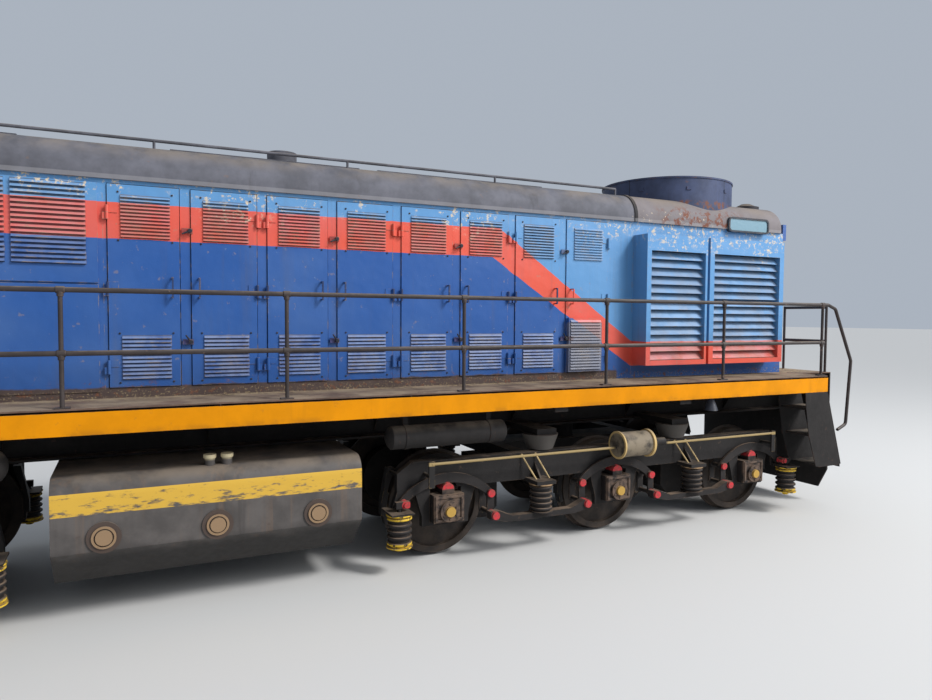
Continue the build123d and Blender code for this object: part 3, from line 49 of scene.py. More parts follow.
def linear(red, green, blue):
    # a paint chip read as 0 to 255, in the shader's own scale
    def one(value):
        value /= 255
        return value / 12.92 if value <= 0.04045 else ((value + 0.055) / 1.055) ** 2.4
    return (one(red), one(green), one(blue), 1.0)


def wire(tree, value, socket):
    # links a socket, or sets a plain value
    if isinstance(value, bpy.types.NodeSocket):
        tree.links.new(value, socket)
    else:
        socket.default_value = value


def calc(tree, operation, a, b=0.0, c=0.0):
    node = tree.nodes.new("ShaderNodeMath")
    node.operation = operation
    for index, value in enumerate((a, b, c)):
        wire(tree, value, node.inputs[index])
    return node.outputs[0]


def fade(tree, value, low, high):
    # 0 below low, 1 above high, smooth between; low may be above high
    node = tree.nodes.new("ShaderNodeMapRange")
    node.interpolation_type = "SMOOTHSTEP"
    wire(tree, value, node.inputs["Value"])
    if low <= high:
        ends = (low, high, 0.0, 1.0)
    else:
        ends = (high, low, 1.0, 0.0)
    for name, end in zip(("From Min", "From Max", "To Min", "To Max"), ends):
        node.inputs[name].default_value = end
    return node.outputs["Result"]


def mix(tree, mask, a, b):
    node = tree.nodes.new("ShaderNodeMix")
    node.data_type = "RGBA"
    wire(tree, mask, node.inputs["Factor"])
    wire(tree, a, node.inputs["A"])
    wire(tree, b, node.inputs["B"])
    return node.outputs["Result"]


def place(tree):
    # a point of the piece, in metres, at rest
    return tree.nodes.new("ShaderNodeTexCoord").outputs["Object"]


def stretched(tree, where, scale):
    node = tree.nodes.new("ShaderNodeMapping")
    wire(tree, where, node.inputs["Vector"])
    node.inputs["Scale"].default_value = scale
    return node.outputs["Vector"]


def noise(tree, where, scale, detail=5.0, roughness=0.6):
    node = tree.nodes.new("ShaderNodeTexNoise")
    wire(tree, where, node.inputs["Vector"])
    for name, value in (("Scale", scale), ("Detail", detail), ("Roughness", roughness)):
        node.inputs[name].default_value = value
    return node.outputs["Fac"]


def patches(tree, where, scale, low, high, detail=5.0, roughness=0.6):
    # 1 where a noise is above high, 0 where it is below low
    return fade(tree, noise(tree, where, scale, detail, roughness), low, high)


def axes(tree, where):
    node = tree.nodes.new("ShaderNodeSeparateXYZ")
    wire(tree, where, node.inputs[0])
    return node.outputs["X"], node.outputs["Y"], node.outputs["Z"]


def facingUp(tree):
    # 1 on what faces straight up, -1 on what faces down
    return axes(tree, tree.nodes.new("ShaderNodeNewGeometry").outputs["Normal"])[2]


def between(tree, value, low, high, soft=0.003):
    # 1 where value lies between low and high
    return calc(tree, "MULTIPLY", fade(tree, value, low - soft, low), fade(tree, value, high + soft, high))


def allOf(tree, *masks):
    whole = masks[0]
    for mask in masks[1:]:
        whole = calc(tree, "MULTIPLY", whole, mask)
    return whole


def anyOf(tree, *masks):
    whole = masks[0]
    for mask in masks[1:]:
        whole = calc(tree, "MAXIMUM", whole, mask)
    return whole


def coated(tree, color, mask, coat, share=1.0):
    # the colour under a coat that covers this share of it where the mask is 1
    if share < 1.0:
        mask = calc(tree, "MULTIPLY", mask, share)
    return mix(tree, mask, color, linear(*coat))


def spotted(tree, across, up, middle, radius, soft=0.003):
    # 1 inside a circle about middle, measured in any two directions
    node = tree.nodes.new("ShaderNodeCombineXYZ")
    wire(tree, across, node.inputs[0])
    wire(tree, up, node.inputs[1])
    gap = tree.nodes.new("ShaderNodeVectorMath")
    gap.operation = "DISTANCE"
    wire(tree, node.outputs[0], gap.inputs[0])
    gap.inputs[1].default_value = (middle[0], middle[1], 0.0)
    return fade(tree, gap.outputs["Value"], radius + soft, radius)


def bumped(tree, height, distance):
    node = tree.nodes.new("ShaderNodeBump")
    wire(tree, height, node.inputs["Height"])
    node.inputs["Distance"].default_value = distance
    node.inputs["Strength"].default_value = 1.0
    return node.outputs["Normal"]


def newGroup(name, inputs, outputs):
    # an empty node group with named sockets
    group = bpy.data.node_groups.new(name, "ShaderNodeTree")
    kinds = {"value": "NodeSocketFloat", "color": "NodeSocketColor", "vector": "NodeSocketVector"}
    for label, kind, value in inputs:
        socket = group.interface.new_socket(label, in_out="INPUT", socket_type=kinds[kind])
        if value is not None:
            socket.default_value = value
    for label, kind in outputs:
        group.interface.new_socket(label, in_out="OUTPUT", socket_type=kinds[kind])
    return group, group.nodes.new("NodeGroupInput").outputs, group.nodes.new("NodeGroupOutput").inputs


def useGroup(tree, group, **values):
    node = tree.nodes.new("ShaderNodeGroup")
    node.node_tree = group
    for name, value in values.items():
        wire(tree, value, node.inputs[name])
    return node.outputs


def newMaterial(name):
    material = bpy.data.materials.new(name)
    material.use_nodes = True
    tree = material.node_tree
    return material, tree, tree.nodes["Principled BSDF"].inputs


# Effects that several finishes share.
# Here and below a patch is a noise's scale, where it starts and where it is full, its detail and roughness.

chipLook = {
    "samples": 4,
    "edge": (0.995, 0.9),             # cosines between the rounded normal and the face's own
    "edgePatch": (9.0, 0.48, 0.6),
    "spotPatch": (14.0, 0.66, 0.7),
}


def makeChipGroup(look):
    # paint gone along edges, and in spots where Spots is high
    tree, given, out = newGroup(
        "edgeChips",
        [("Where", "vector", None), ("Width", "value", 0.006), ("Spots", "value", 0.0)],
        [("Mask", "value")],
    )
    bevel = tree.nodes.new("ShaderNodeBevel")
    bevel.samples = look["samples"]
    wire(tree, given["Width"], bevel.inputs["Radius"])
    facing = tree.nodes.new("ShaderNodeVectorMath")
    facing.operation = "DOT_PRODUCT"
    wire(tree, bevel.outputs["Normal"], facing.inputs[0])
    wire(tree, tree.nodes.new("ShaderNodeNewGeometry").outputs["Normal"], facing.inputs[1])
    edge = fade(tree, facing.outputs["Value"], *look["edge"])
    edge = allOf(tree, edge, patches(tree, given["Where"], *look["edgePatch"]))
    spots = allOf(tree, patches(tree, given["Where"], *look["spotPatch"]), given["Spots"])
    wire(tree, anyOf(tree, edge, spots), out["Mask"])
    return tree


dustLook = {"up": (0.35, 0.95), "patch": (3.0, 0.3, 0.65)}


def makeDustGroup(look):
    # dust that settles on what faces up
    tree, given, out = newGroup(
        "settledDust",
        [("Where", "vector", None), ("Amount", "value", 0.6)],
        [("Mask", "value")],
    )
    up = fade(tree, facingUp(tree), *look["up"])
    wire(tree, allOf(tree, up, patches(tree, given["Where"], *look["patch"]), given["Amount"]), out["Mask"])
    return tree


streakLook = {
    "fineStretch": (11.0, 11.0, 0.45),
    "finePatch": (1.0, 0.5, 0.72),
    "broadStretch": (2.5, 2.5, 0.7),
    "broadPatch": (1.0, 0.4, 0.7),
}


def makeStreakGroup(look):
    # long marks that water leaves as it runs down
    tree, given, out = newGroup(
        "runStreaks",
        [("Where", "vector", None), ("Amount", "value", 0.5)],
        [("Mask", "value")],
    )
    fine = patches(tree, stretched(tree, given["Where"], look["fineStretch"]), *look["finePatch"])
    broad = patches(tree, stretched(tree, given["Where"], look["broadStretch"]), *look["broadPatch"])
    wire(tree, allOf(tree, fine, broad, given["Amount"]), out["Mask"])
    return tree


edgeChips = makeChipGroup(chipLook)
settledDust = makeDustGroup(dustLook)
runStreaks = makeStreakGroup(streakLook)


# Livery of the hood: light blue over dark blue, parted by a red band that falls towards the radiator

liveryLook = {
    "lightBlue": (90, 142, 190),
    "darkBlue": (40, 84, 150),
    "redBand": (216, 86, 66),
    "bandTop": 3.438,
    "bandBottom": 3.133,
    "topCorner": (2.938, 3.420),      # where the band's upper edge turns down
    "topSlope": -0.680,
    "bottomCorner": (2.869, 3.107),   # where its lower edge turns down
    "bottomSlope": -0.645,
    "bandEndTop": 2.222,
    "bandEndBottom": 1.930,
    "wobbleScale": 5.0,
    "wobble": 0.02,
}


def makeLiveryGroup(look):
    tree, given, out = newGroup(
        "livery",
        [("Where", "vector", None)],
        [("Color", "color")],
    )
    x, _, z = axes(tree, given["Where"])
    wobble = calc(tree, "SUBTRACT", noise(tree, given["Where"], look["wobbleScale"]), 0.5)
    z = calc(tree, "ADD", z, calc(tree, "MULTIPLY", wobble, look["wobble"]))

    def edge(flat, corner, slope, end):
        # height of one edge of the band at x
        fall = calc(tree, "MULTIPLY_ADD", x, slope, corner[1] - slope * corner[0])
        return calc(tree, "MAXIMUM", calc(tree, "MINIMUM", fall, flat), end)

    top = edge(look["bandTop"], look["topCorner"], look["topSlope"], look["bandEndTop"])
    bottom = edge(look["bandBottom"], look["bottomCorner"], look["bottomSlope"], look["bandEndBottom"])
    aboveTop = calc(tree, "GREATER_THAN", z, top)
    aboveBottom = calc(tree, "GREATER_THAN", z, bottom)
    lower = mix(tree, aboveBottom, linear(*look["darkBlue"]), linear(*look["redBand"]))
    wire(tree, mix(tree, aboveTop, lower, linear(*look["lightBlue"])), out["Color"])
    return tree


livery = makeLiveryGroup(liveryLook)


# Paint and dirt that only some pieces have.
# A mark is bounded along the track (x), up (z), away from the middle of the track (out) and by how far a
# face looks up (lean, 1 is straight up). A name with Edge gives one soft edge instead, from where the mark
# is gone to where it is full. Ragged is the scale and reach of a noise that shifts its heights, disc its
# two directions, middle and radius, and share how much of what lies under it is covered.

def measured(tree, where):
    # what bounds a mark
    x, y, z = axes(tree, where)
    return {"where": where, "x": x, "y": y, "z": z, "out": calc(tree, "ABSOLUTE", y), "lean": facingUp(tree)}


def fromPivot(tree, x):
    # distance along the track from the nearest bogie pivot
    return calc(tree, "ABSOLUTE", calc(tree, "SUBTRACT", calc(tree, "ABSOLUTE", x), pivotX))


def fromAxle(tree, pivotGap):
    # distance along the track from the nearest axle
    folded = calc(tree, "ABSOLUTE", calc(tree, "SUBTRACT", pivotGap, axleSpacing / 2))
    return calc(tree, "ABSOLUTE", calc(tree, "SUBTRACT", folded, axleSpacing / 2))


def bounded(tree, at, mark, *masks):
    # 1 inside the mark and where all the masks are 1
    masks = list(masks)
    if "ragged" in mark:
        scale, reach = mark["ragged"]
        shift = noise(tree, at["where"], scale)
        at = {**at, "z": calc(tree, "MULTIPLY_ADD", shift, reach, at["z"])}
    for name, value in at.items():
        if name in mark:
            masks.append(between(tree, value, *mark[name]))
        if name + "Edge" in mark:
            masks.append(fade(tree, value, *mark[name + "Edge"]))
    if "disc" in mark:
        across, up, *size = mark["disc"]
        masks.append(spotted(tree, at[across], at[up], *size))
    if "patch" in mark:
        where = stretched(tree, at["where"], mark.get("stretch", (1.0, 1.0, 1.0)))
        masks.append(patches(tree, where, *mark["patch"]))
    return allOf(tree, *masks)


def marked(tree, at, color, mark, *masks):
    # the colour so far, under the mark's own
    return coated(tree, color, bounded(tree, at, mark, *masks), mark["color"], mark.get("share", 1.0))


def allMarked(tree, at, color, marks):
    for mark in marks:
        color = marked(tree, at, color, mark)
    return color


slotLook = {"gap": (0.26, 0.2), "lip": (0.7, 0.82)}  # shares of one slat's pitch


def shadedSlots(tree, z, bottom, top, count):
    # 1 where painted shade lies in a louvre field: the gap under each slat and the upper part of the slat
    # below it, which the lip above shades
    steps = calc(tree, "MULTIPLY", calc(tree, "SUBTRACT", z, bottom), count / (top - bottom))
    phase = calc(tree, "FRACT", steps)
    slot = anyOf(tree, fade(tree, phase, *slotLook["gap"]), fade(tree, phase, *slotLook["lip"]))
    return allOf(tree, slot, between(tree, z, bottom, top))


underEave = (4.3, 4.1)
hoodLook = {
    "tone": {"patch": (0.9, 0.35, 0.75, 3.0), "color": (150, 178, 205), "share": 0.1},
    # painted highlight: faces that lean back are coloured lighter, more so low down
    "paintedHighlight": {"lean": (0.12, 0.9, 0.05), "patch": (5.0, 0.3, 0.6, 6.0), "color": (196, 206, 222)},
    "highlightShare": 0.14,
    "highlightLow": (2.8, 2.4),          # heights between which it grows
    "highlightMore": 0.1,                # by how much
    # painted shade: faces that look down under the eave are coloured near black
    "ledgeShade": {"leanEdge": (-0.08, -0.2), "zEdge": underEave, "outEdge": (0.87, 0.88),
               "color": (18, 20, 30), "share": 0.6},
    "doorFields": ((1.939, 2.318, 11), (3.143, 3.506, 12)),  # bottom, top and slats
    "doorSlots": {"x": (-0.83, 3.77)},
    "leafSpan": (0.100, 0.485),       # from a leaf's low edge
    "wallField": (2.905, 3.58, 17),
    "wallSpans": ((-2.17, -1.545), (-1.5, -0.976)),
    # painted shade in the slots of the door and wall louvres
    "shadedSlots": {"out": (0.86, 0.925), "color": (22, 26, 44), "share": 0.6},
    "scuffs": {"zEdge": (1.9, 2.6), "patch": (18.0, 0.65, 0.69, 8.0, 0.75), "color": (168, 184, 196),
               "share": 0.4},
    "flakes": {"ragged": (2.0, 1.0), "zEdge": (3.86, 4.08), "patch": (20.0, 0.545, 0.575, 8.0, 0.75),
               "color": (206, 190, 165)},
    "clusters": (2.6, 0.42, 0.52, 3.0),
    "flakedAllOver": (3.5, 5.2),      # x from where flakes lie between the clusters too
    "flakeShifts": (                  # where, and how much lower down the paint flakes there
        ({"outEdge": (0.98, 1.06)}, 0.16),
        ({"xEdge": (-2.9, -3.0)}, -0.3),
        ({"x": (-5.3, -2.9, 0.02)}, -0.35),
    ),
    "louvreBox": {"x": (3.777, 4.232), "z": (1.884, 2.44), "outEdge": (0.884, 0.888),
                  "color": (112, 114, 124), "share": 0.8},
    "handles": {"x": (-0.83, 3.7), "z": (2.63, 2.83), "outEdge": (0.906, 0.91), "color": (46, 60, 96)},
    "latches": {"x": (-0.83, 4.3), "outEdge": (0.886, 0.888), "color": (76, 40, 48), "share": 0.6},
    "latchMiddle": -0.208,            # x of the gap between the first pair of doors
    "latchReach": (0.115, 0.11),
    "latchHeights": ((3.206, 3.254), (2.236, 2.284)),
    "beneath": {"leanEdge": (-0.3, -0.7), "zEdge": underEave, "color": (18, 20, 30), "share": 0.88},
    "kick": {"ragged": (6.0, 0.05), "zEdge": (1.915, 1.895), "xEdge": (4.52, 4.48)},
    "kickNoise": (12.0, 6.0),
    "kickColors": ((66, 52, 44), (98, 80, 64)),
    "kickShare": 0.95,
    "litter": {"ragged": (1.6, 0.06), "zEdge": (1.89, 1.88), "patch": (60.0, 0.57, 0.64, 4.0),
               "color": (160, 142, 108), "share": 0.7},
    "rust": {"ragged": (3.5, 0.3), "zEdge": (2.13, 1.98), "patch": (14.0, 0.56, 0.62, 7.0, 0.7),
             "color": (112, 74, 56)},
}


def hoodLight(tree, at, color):
    # uneven tone, a painted highlight on faces that lean back, and painted shade on the undersides of slats
    # and of each ledge
    color = marked(tree, at, color, hoodLook["tone"])
    low = fade(tree, at["z"], *hoodLook["highlightLow"])
    share = calc(tree, "MULTIPLY_ADD", low, hoodLook["highlightMore"], hoodLook["highlightShare"])
    color = marked(tree, at, color, hoodLook["paintedHighlight"], share)
    return marked(tree, at, color, hoodLook["ledgeShade"])


def hoodSlotShade(tree, at, color):
    # painted shade in the slots of the door louvres and the wall louvres
    x, z = at["x"], at["z"]
    leaf = calc(tree, "WRAP", x, doorRow["firstX"] + doorRow["pitch"], doorRow["firstX"])
    onLeaf = between(tree, leaf, *[doorRow["firstX"] + edge for edge in hoodLook["leafSpan"]])
    fields = anyOf(tree, *[shadedSlots(tree, z, *field) for field in hoodLook["doorFields"]])
    onDoors = bounded(tree, at, hoodLook["doorSlots"], fields, onLeaf)
    spans = anyOf(tree, *[between(tree, x, *span) for span in hoodLook["wallSpans"]])
    onWall = allOf(tree, spans, shadedSlots(tree, z, *hoodLook["wallField"]))
    return marked(tree, at, color, hoodLook["shadedSlots"], anyOf(tree, onDoors, onWall))


def hoodFlakes(tree, at, color):
    # scuffs, and paint that flakes off under the roof
    color = marked(tree, at, color, hoodLook["scuffs"])
    height = at["z"]
    for zone, shift in hoodLook["flakeShifts"]:
        height = calc(tree, "MULTIPLY_ADD", bounded(tree, at, zone), shift, height)
    clusters = anyOf(tree, patches(tree, at["where"], *hoodLook["clusters"]),
                     fade(tree, at["x"], *hoodLook["flakedAllOver"]))
    return marked(tree, {**at, "z": height}, color, hoodLook["flakes"], clusters)


def hoodFittings(tree, at, color):
    # the grey louvre box, the door handles, the latch bars, and the shade under all that stands out
    color = allMarked(tree, at, color, (hoodLook["louvreBox"], hoodLook["handles"]))
    fromMiddle = calc(tree, "SUBTRACT", at["x"], hoodLook["latchMiddle"])
    fromPair = calc(tree, "PINGPONG", fromMiddle, doorRow["pitch"])
    bars = anyOf(tree, *[between(tree, at["z"], *height) for height in hoodLook["latchHeights"]])
    reach = fade(tree, fromPair, *hoodLook["latchReach"])
    color = marked(tree, at, color, hoodLook["latches"], reach, bars)
    return marked(tree, at, color, hoodLook["beneath"])


def hoodFoot(tree, at, color):
    # the dirty strip, litter and rust where the hood meets the walkway
    kicked = calc(tree, "MULTIPLY", bounded(tree, at, hoodLook["kick"]), hoodLook["kickShare"])
    dark, light = [linear(*chip) for chip in hoodLook["kickColors"]]
    color = mix(tree, kicked, color, mix(tree, noise(tree, at["where"], *hoodLook["kickNoise"]), dark, light))
    return allMarked(tree, at, color, (hoodLook["litter"], hoodLook["rust"]))


def hoodMarks(tree, at, color):
    for layer in (hoodLight, hoodSlotShade, hoodFlakes, hoodFittings, hoodFoot):
        color = layer(tree, at, color)
    return color


roofLook = {
    "radiatorEnd": {"xEdge": (4.69, 4.7), "color": (128, 118, 116), "share": 0.6},
    "coverStrip": {"x": (4.701, 4.739), "zEdge": (3.60, 3.63), "color": (34, 32, 34)},
    # painted highlight: a lighter strip along the roof's lower edge
    "eaveHighlight": {"z": (3.628, 3.665), "color": (160, 158, 160), "share": 0.3},
    "soot": {"zEdge": (3.9, 3.97), "stretch": (1.0, 0.4, 1.0), "patch": (7.0, 0.4, 0.6),
             "color": (58, 58, 62), "share": 0.5},
    "rust": {"x": (5.3, 6.2, 0.35), "zEdge": (3.9, 3.78), "patch": (9.0, 0.5, 0.56, 8.0, 0.75),
             "color": (112, 68, 52)},
    "flakes": {"x": (4.85, 5.9, 0.3), "zEdge": (3.85, 3.7), "patch": (24.0, 0.6, 0.63, 8.0, 0.75),
               "color": (206, 186, 158)},
    "vent": {"disc": ("x", "y", (6.96, -0.45), 0.175), "zEdge": (3.9, 3.92), "color": (50, 48, 54)},
}


def roofMarks(tree, at, color):
    return allMarked(tree, at, color, roofLook.values())


ringLook = {
    "middleX": 5.95,
    "seamTurn": 1.28,                 # radians from a seam to the track's direction
    "seamStep": 0.785,                # half the turn between two seams
    "seams": {"fromSeamEdge": (0.006, 0.004), "color": (30, 30, 36)},
    "rust": {"ragged": (4.0, 0.1), "zEdge": (4.03, 3.99), "patch": (14.0, 0.5, 0.6, 7.0),
             "color": (108, 68, 54)},
}


def ringMarks(tree, at, color):
    turn = calc(tree, "ARCTAN2", at["y"], calc(tree, "SUBTRACT", at["x"], ringLook["middleX"]))
    fromSeam = calc(tree, "PINGPONG", calc(tree, "ADD", turn, ringLook["seamTurn"]), ringLook["seamStep"])
    at = {**at, "fromSeam": fromSeam}
    return allMarked(tree, at, color, (ringLook["seams"], ringLook["rust"]))


bowlLook = {"z": (1.07, 1.234), "pivotGap": (0.71, 1.15), "out": (0.79, 1.21), "color": (82, 78, 74)}


def frameMarks(tree, at, color):
    # the bowls of the side bearings
    return marked(tree, {**at, "pivotGap": fromPivot(tree, at["x"])}, color, bowlLook)


deckLook = {
    "wallEdge": (1.1, 0.93),
    "speckStretch": (1.0, 2.4, 1.0),
    "speckNoise": (26.0, 4.0),
    "moreAtWall": 0.1,
    "drifts": (1.6, 0.42, 0.6),
    "litter": {"speckEdge": (0.62, 0.66), "leanEdge": (0.5, 0.9), "color": (184, 166, 124)},
}


def deckMarks(tree, at, color):
    # litter on top, thick along the hood
    atWall = fade(tree, at["out"], *deckLook["wallEdge"])
    specks = noise(tree, stretched(tree, at["where"], deckLook["speckStretch"]), *deckLook["speckNoise"])
    at = {**at, "speck": calc(tree, "MULTIPLY_ADD", atWall, deckLook["moreAtWall"], specks)}
    drifts = anyOf(tree, patches(tree, at["where"], *deckLook["drifts"]), atWall)
    return marked(tree, at, color, deckLook["litter"], drifts)


fasciaLook = {"zEdge": (1.64, 1.58), "patch": (4.0, 0.4, 0.65), "color": (120, 80, 30), "share": 0.35}


def fasciaMarks(tree, at, color):
    return marked(tree, at, color, fasciaLook)


tankLook = {
    "runs": {"stretch": (1.4, 1.4, 1.0), "amount": 0.7, "color": (116, 92, 72)},
    "stripe": {"z": (0.937, 1.11), "outEdge": (1.2, 1.3), "wearEdge": (0.7, 0.58), "color": (206, 164, 62)},
    "wearStretch": (1.0, 1.0, 4.0),
    "wearNoise": (5.0, 8.0, 0.7),
    "wearBelow": 0.7,                 # more of it per metre below the stripe's top
    # the tank is coloured darker towards its bottom
    "darkerBelow": {"ragged": (3.0, 0.2), "zEdge": (0.8, 0.64), "color": (26, 24, 23), "share": 0.85},
    "ports": {"z": (0.62, 0.88), "outEdge": (1.409, 1.413), "color": (74, 60, 52)},
    "portRings": {"z": (0.62, 0.88), "outEdge": (1.42, 1.4235), "color": (142, 116, 88)},
    "caps": {"zEdge": (1.26, 1.29), "color": (200, 186, 150)},
}


def tankMarks(tree, at, color):
    runs = tankLook["runs"]
    along = stretched(tree, at["where"], runs["stretch"])
    streaks = useGroup(tree, runStreaks, Where=along, Amount=runs["amount"])["Mask"]
    color = coated(tree, color, streaks, runs["color"])
    rubbed = noise(tree, stretched(tree, at["where"], tankLook["wearStretch"]), *tankLook["wearNoise"])
    below = calc(tree, "SUBTRACT", tankLook["stripe"]["z"][1], at["z"])
    at = {**at, "wear": calc(tree, "MULTIPLY_ADD", below, tankLook["wearBelow"], rubbed)}
    return allMarked(tree, at, color, [tankLook[name] for name in
                                       ("stripe", "darkerBelow", "ports", "portRings", "caps")])


wornSteel = (24.0, 0.36, 0.5, 6.0)
gearLook = {
    "boxes": {"disc": ("axleGap", "z", (0.0, 0.57), 0.27, 0.02), "outEdge": (1.15, 1.19),
              "patch": (14.0, 0.35, 0.6, 6.0), "color": (112, 92, 78), "share": 0.7},
    "caps": {"disc": ("axleGap", "z", (0.0, 0.553), 0.052), "outEdge": (1.223, 1.226),
             "color": (176, 140, 66)},
    "saddles": {"disc": ("axleGap", "z", (0.0, 0.765), 0.07), "zEdge": (0.76, 0.775)},
    "highPins": {"disc": ("axleGap", "z", (0.482, 0.68), 0.042), "outEdge": (1.168, 1.172)},
    "lowPins": {"disc": ("axleGap", "z", (0.482, 0.47), 0.042), "outEdge": (1.168, 1.172),
                "pivotGapEdge": (2.5, 2.4)},
    "reds": ((196, 44, 54), (150, 60, 58)),
    "rubbed": (30.0, 0.35, 0.6, 6.0),
    "springTurns": ((0.545, 0.56), (0.335, 0.32)),
    "endSprings": {"disc": ("pivotGap", "out", (2.643, 1.23), 0.135), "zEdge": (0.61, 0.603),
                   "patch": wornSteel, "color": (214, 176, 50)},
    "springPlates": {"disc": ("pivotGap", "out", (1.05, 1.23), 0.135), "zEdge": (0.728, 0.735),
                     "patch": wornSteel, "color": (160, 130, 96)},
}


def gearMarks(tree, at, color):
    # axle boxes, saddles, pins and springs
    pivotGap = fromPivot(tree, at["x"])
    at = {**at, "pivotGap": pivotGap, "axleGap": fromAxle(tree, pivotGap)}
    color = allMarked(tree, at, color, (gearLook["boxes"], gearLook["caps"]))
    painted = anyOf(tree, *[bounded(tree, at, gearLook[name]) for name in ("saddles", "highPins", "lowPins")])
    fresh, faded = [linear(*chip) for chip in gearLook["reds"]]
    red = mix(tree, patches(tree, at["where"], *gearLook["rubbed"]), fresh, faded)
    color = mix(tree, painted, color, red)
    turns = anyOf(tree, *[fade(tree, at["z"], *turn) for turn in gearLook["springTurns"]])
    color = marked(tree, at, color, gearLook["endSprings"], turns)
    return marked(tree, at, color, gearLook["springPlates"])


drumMiddle = (1.285, 1.085)
brakeLook = {
    "drums": {"disc": ("out", "z", drumMiddle, 0.16), "along": (-0.11, 0.34), "patch": (8.0, 0.25, 0.6, 6.0),
              "color": (128, 116, 98)},
    "rims": {"disc": ("out", "z", drumMiddle, 0.16), "color": (196, 166, 110)},
    "rimSpans": ((-0.102, -0.08), (0.298, 0.332)),
    "faces": {"disc": ("out", "z", drumMiddle, 0.13)},
    # painted highlight: the pull rods are coloured cream
    "rods": {"z": (1.044, 1.076), "out": (1.268, 1.302), "fromMiddleEdge": (0.35, 0.4),
             "color": (170, 146, 98), "share": 0.8},
    "rodMiddle": 0.23,
}


def brakeMarks(tree, at, color):
    # brake cylinders and their rods, the rods coloured cream as a painted highlight; along is measured from
    # the bogie's pivot
    pivot = calc(tree, "MULTIPLY", calc(tree, "SIGN", at["x"]), pivotX)
    along = calc(tree, "SUBTRACT", at["x"], pivot)
    fromMiddle = calc(tree, "ABSOLUTE", calc(tree, "SUBTRACT", along, brakeLook["rodMiddle"]))
    at = {**at, "along": along, "fromMiddle": fromMiddle}
    color = marked(tree, at, color, brakeLook["drums"])
    spans = anyOf(tree, *[between(tree, along, *span) for span in brakeLook["rimSpans"]])
    border = calc(tree, "SUBTRACT", 1.0, bounded(tree, at, brakeLook["faces"]))
    color = marked(tree, at, color, brakeLook["rims"], spans, border)
    return marked(tree, at, color, brakeLook["rods"])


wheelLook = {"patch": (5.0, 0.35, 0.65, 6.0), "color": (88, 74, 62), "share": 0.35}


def wheelMarks(tree, at, color):
    return marked(tree, at, color, wheelLook)


lampLook = {
    "plates": {"x": (6.17, 6.87), "zEdge": (3.58, 3.6), "out": (0.9165, 0.9195, 0.001),
               "color": (118, 150, 164)},
    "frontLenses": {"x": (7.25, 7.268), "color": (166, 168, 164)},
    "rearLenses": {"x": (-7.168, -7.15), "color": (166, 168, 164)},
    "markers": {"x": (7.199, 7.3), "zEdge": (3.5, 3.53), "outEdge": (0.79, 0.8), "color": (60, 92, 150)},
    "stepLamp": {"disc": ("x", "out", (5.43, 1.43), 0.09), "zEdge": (1.57, 1.56), "leanEdge": (-0.05, -0.15),
                 "color": (212, 196, 158)},
}


def lampMarks(tree, at, color):
    return allMarked(tree, at, color, lampLook.values())


plainPaint = {                        # what a paint has unless it says otherwise
    "marks": None,
    "mottle": 0.8,                    # brightness of the darker patches
    "mottlePatch": (4.0, 0.3, 0.7),
    "streaks": 0.4,
    "streakColor": (48, 44, 44),
    "dust": 0.6,
    "dustColor": (140, 126, 110),
    "chipWidth": 0.007,
    "spots": 0.3,
    "gloss": 0.3,
    "grainScale": 18.0,
    "grain": (0.25, -0.12),           # what its noise adds to the roughness, and what evens that out
    "dentScale": 30.0,
    "dentDetail": 3.0,
    "dents": 0.002,
    "pitNoise": (60.0, 6.0),
    "pits": 0.05,
}


def makePaint(name, own):
    # worn paint: mottling, streaks, own marks, settled dust and chipped edges over the base colour
    look = {**plainPaint, **own}
    material, tree, shader = newMaterial(name)
    where = place(tree)
    paint = look["paint"]
    if paint == "livery":
        color = useGroup(tree, livery, Where=where)["Color"]
    else:
        darker = [value * look["mottle"] for value in paint]
        color = mix(tree, patches(tree, where, *look["mottlePatch"]), linear(*paint), linear(*darker))
    streaks = useGroup(tree, runStreaks, Where=where, Amount=look["streaks"])["Mask"]
    color = coated(tree, color, streaks, look["streakColor"])
    if look["marks"]:
        color = look["marks"](tree, measured(tree, where), color)
    dust = useGroup(tree, settledDust, Where=where, Amount=look["dust"])["Mask"]
    color = coated(tree, color, dust, look["dustColor"])
    chips = useGroup(tree, edgeChips, Where=where, Width=look["chipWidth"], Spots=look["spots"])["Mask"]
    wire(tree, coated(tree, color, chips, look["bare"]), shader["Base Color"])
    reach, offset = look["grain"]
    grain = noise(tree, where, look["grainScale"])
    wire(tree, calc(tree, "MULTIPLY_ADD", grain, reach, look["roughness"] + offset), shader["Roughness"])
    shader["Specular IOR Level"].default_value = look["gloss"]
    dents = noise(tree, where, look["dentScale"], look["dentDetail"])
    height = calc(tree, "MULTIPLY_ADD", noise(tree, where, *look["pitNoise"]), look["pits"], dents)
    wire(tree, bumped(tree, height, look["dents"]), shader["Normal"])
    return material


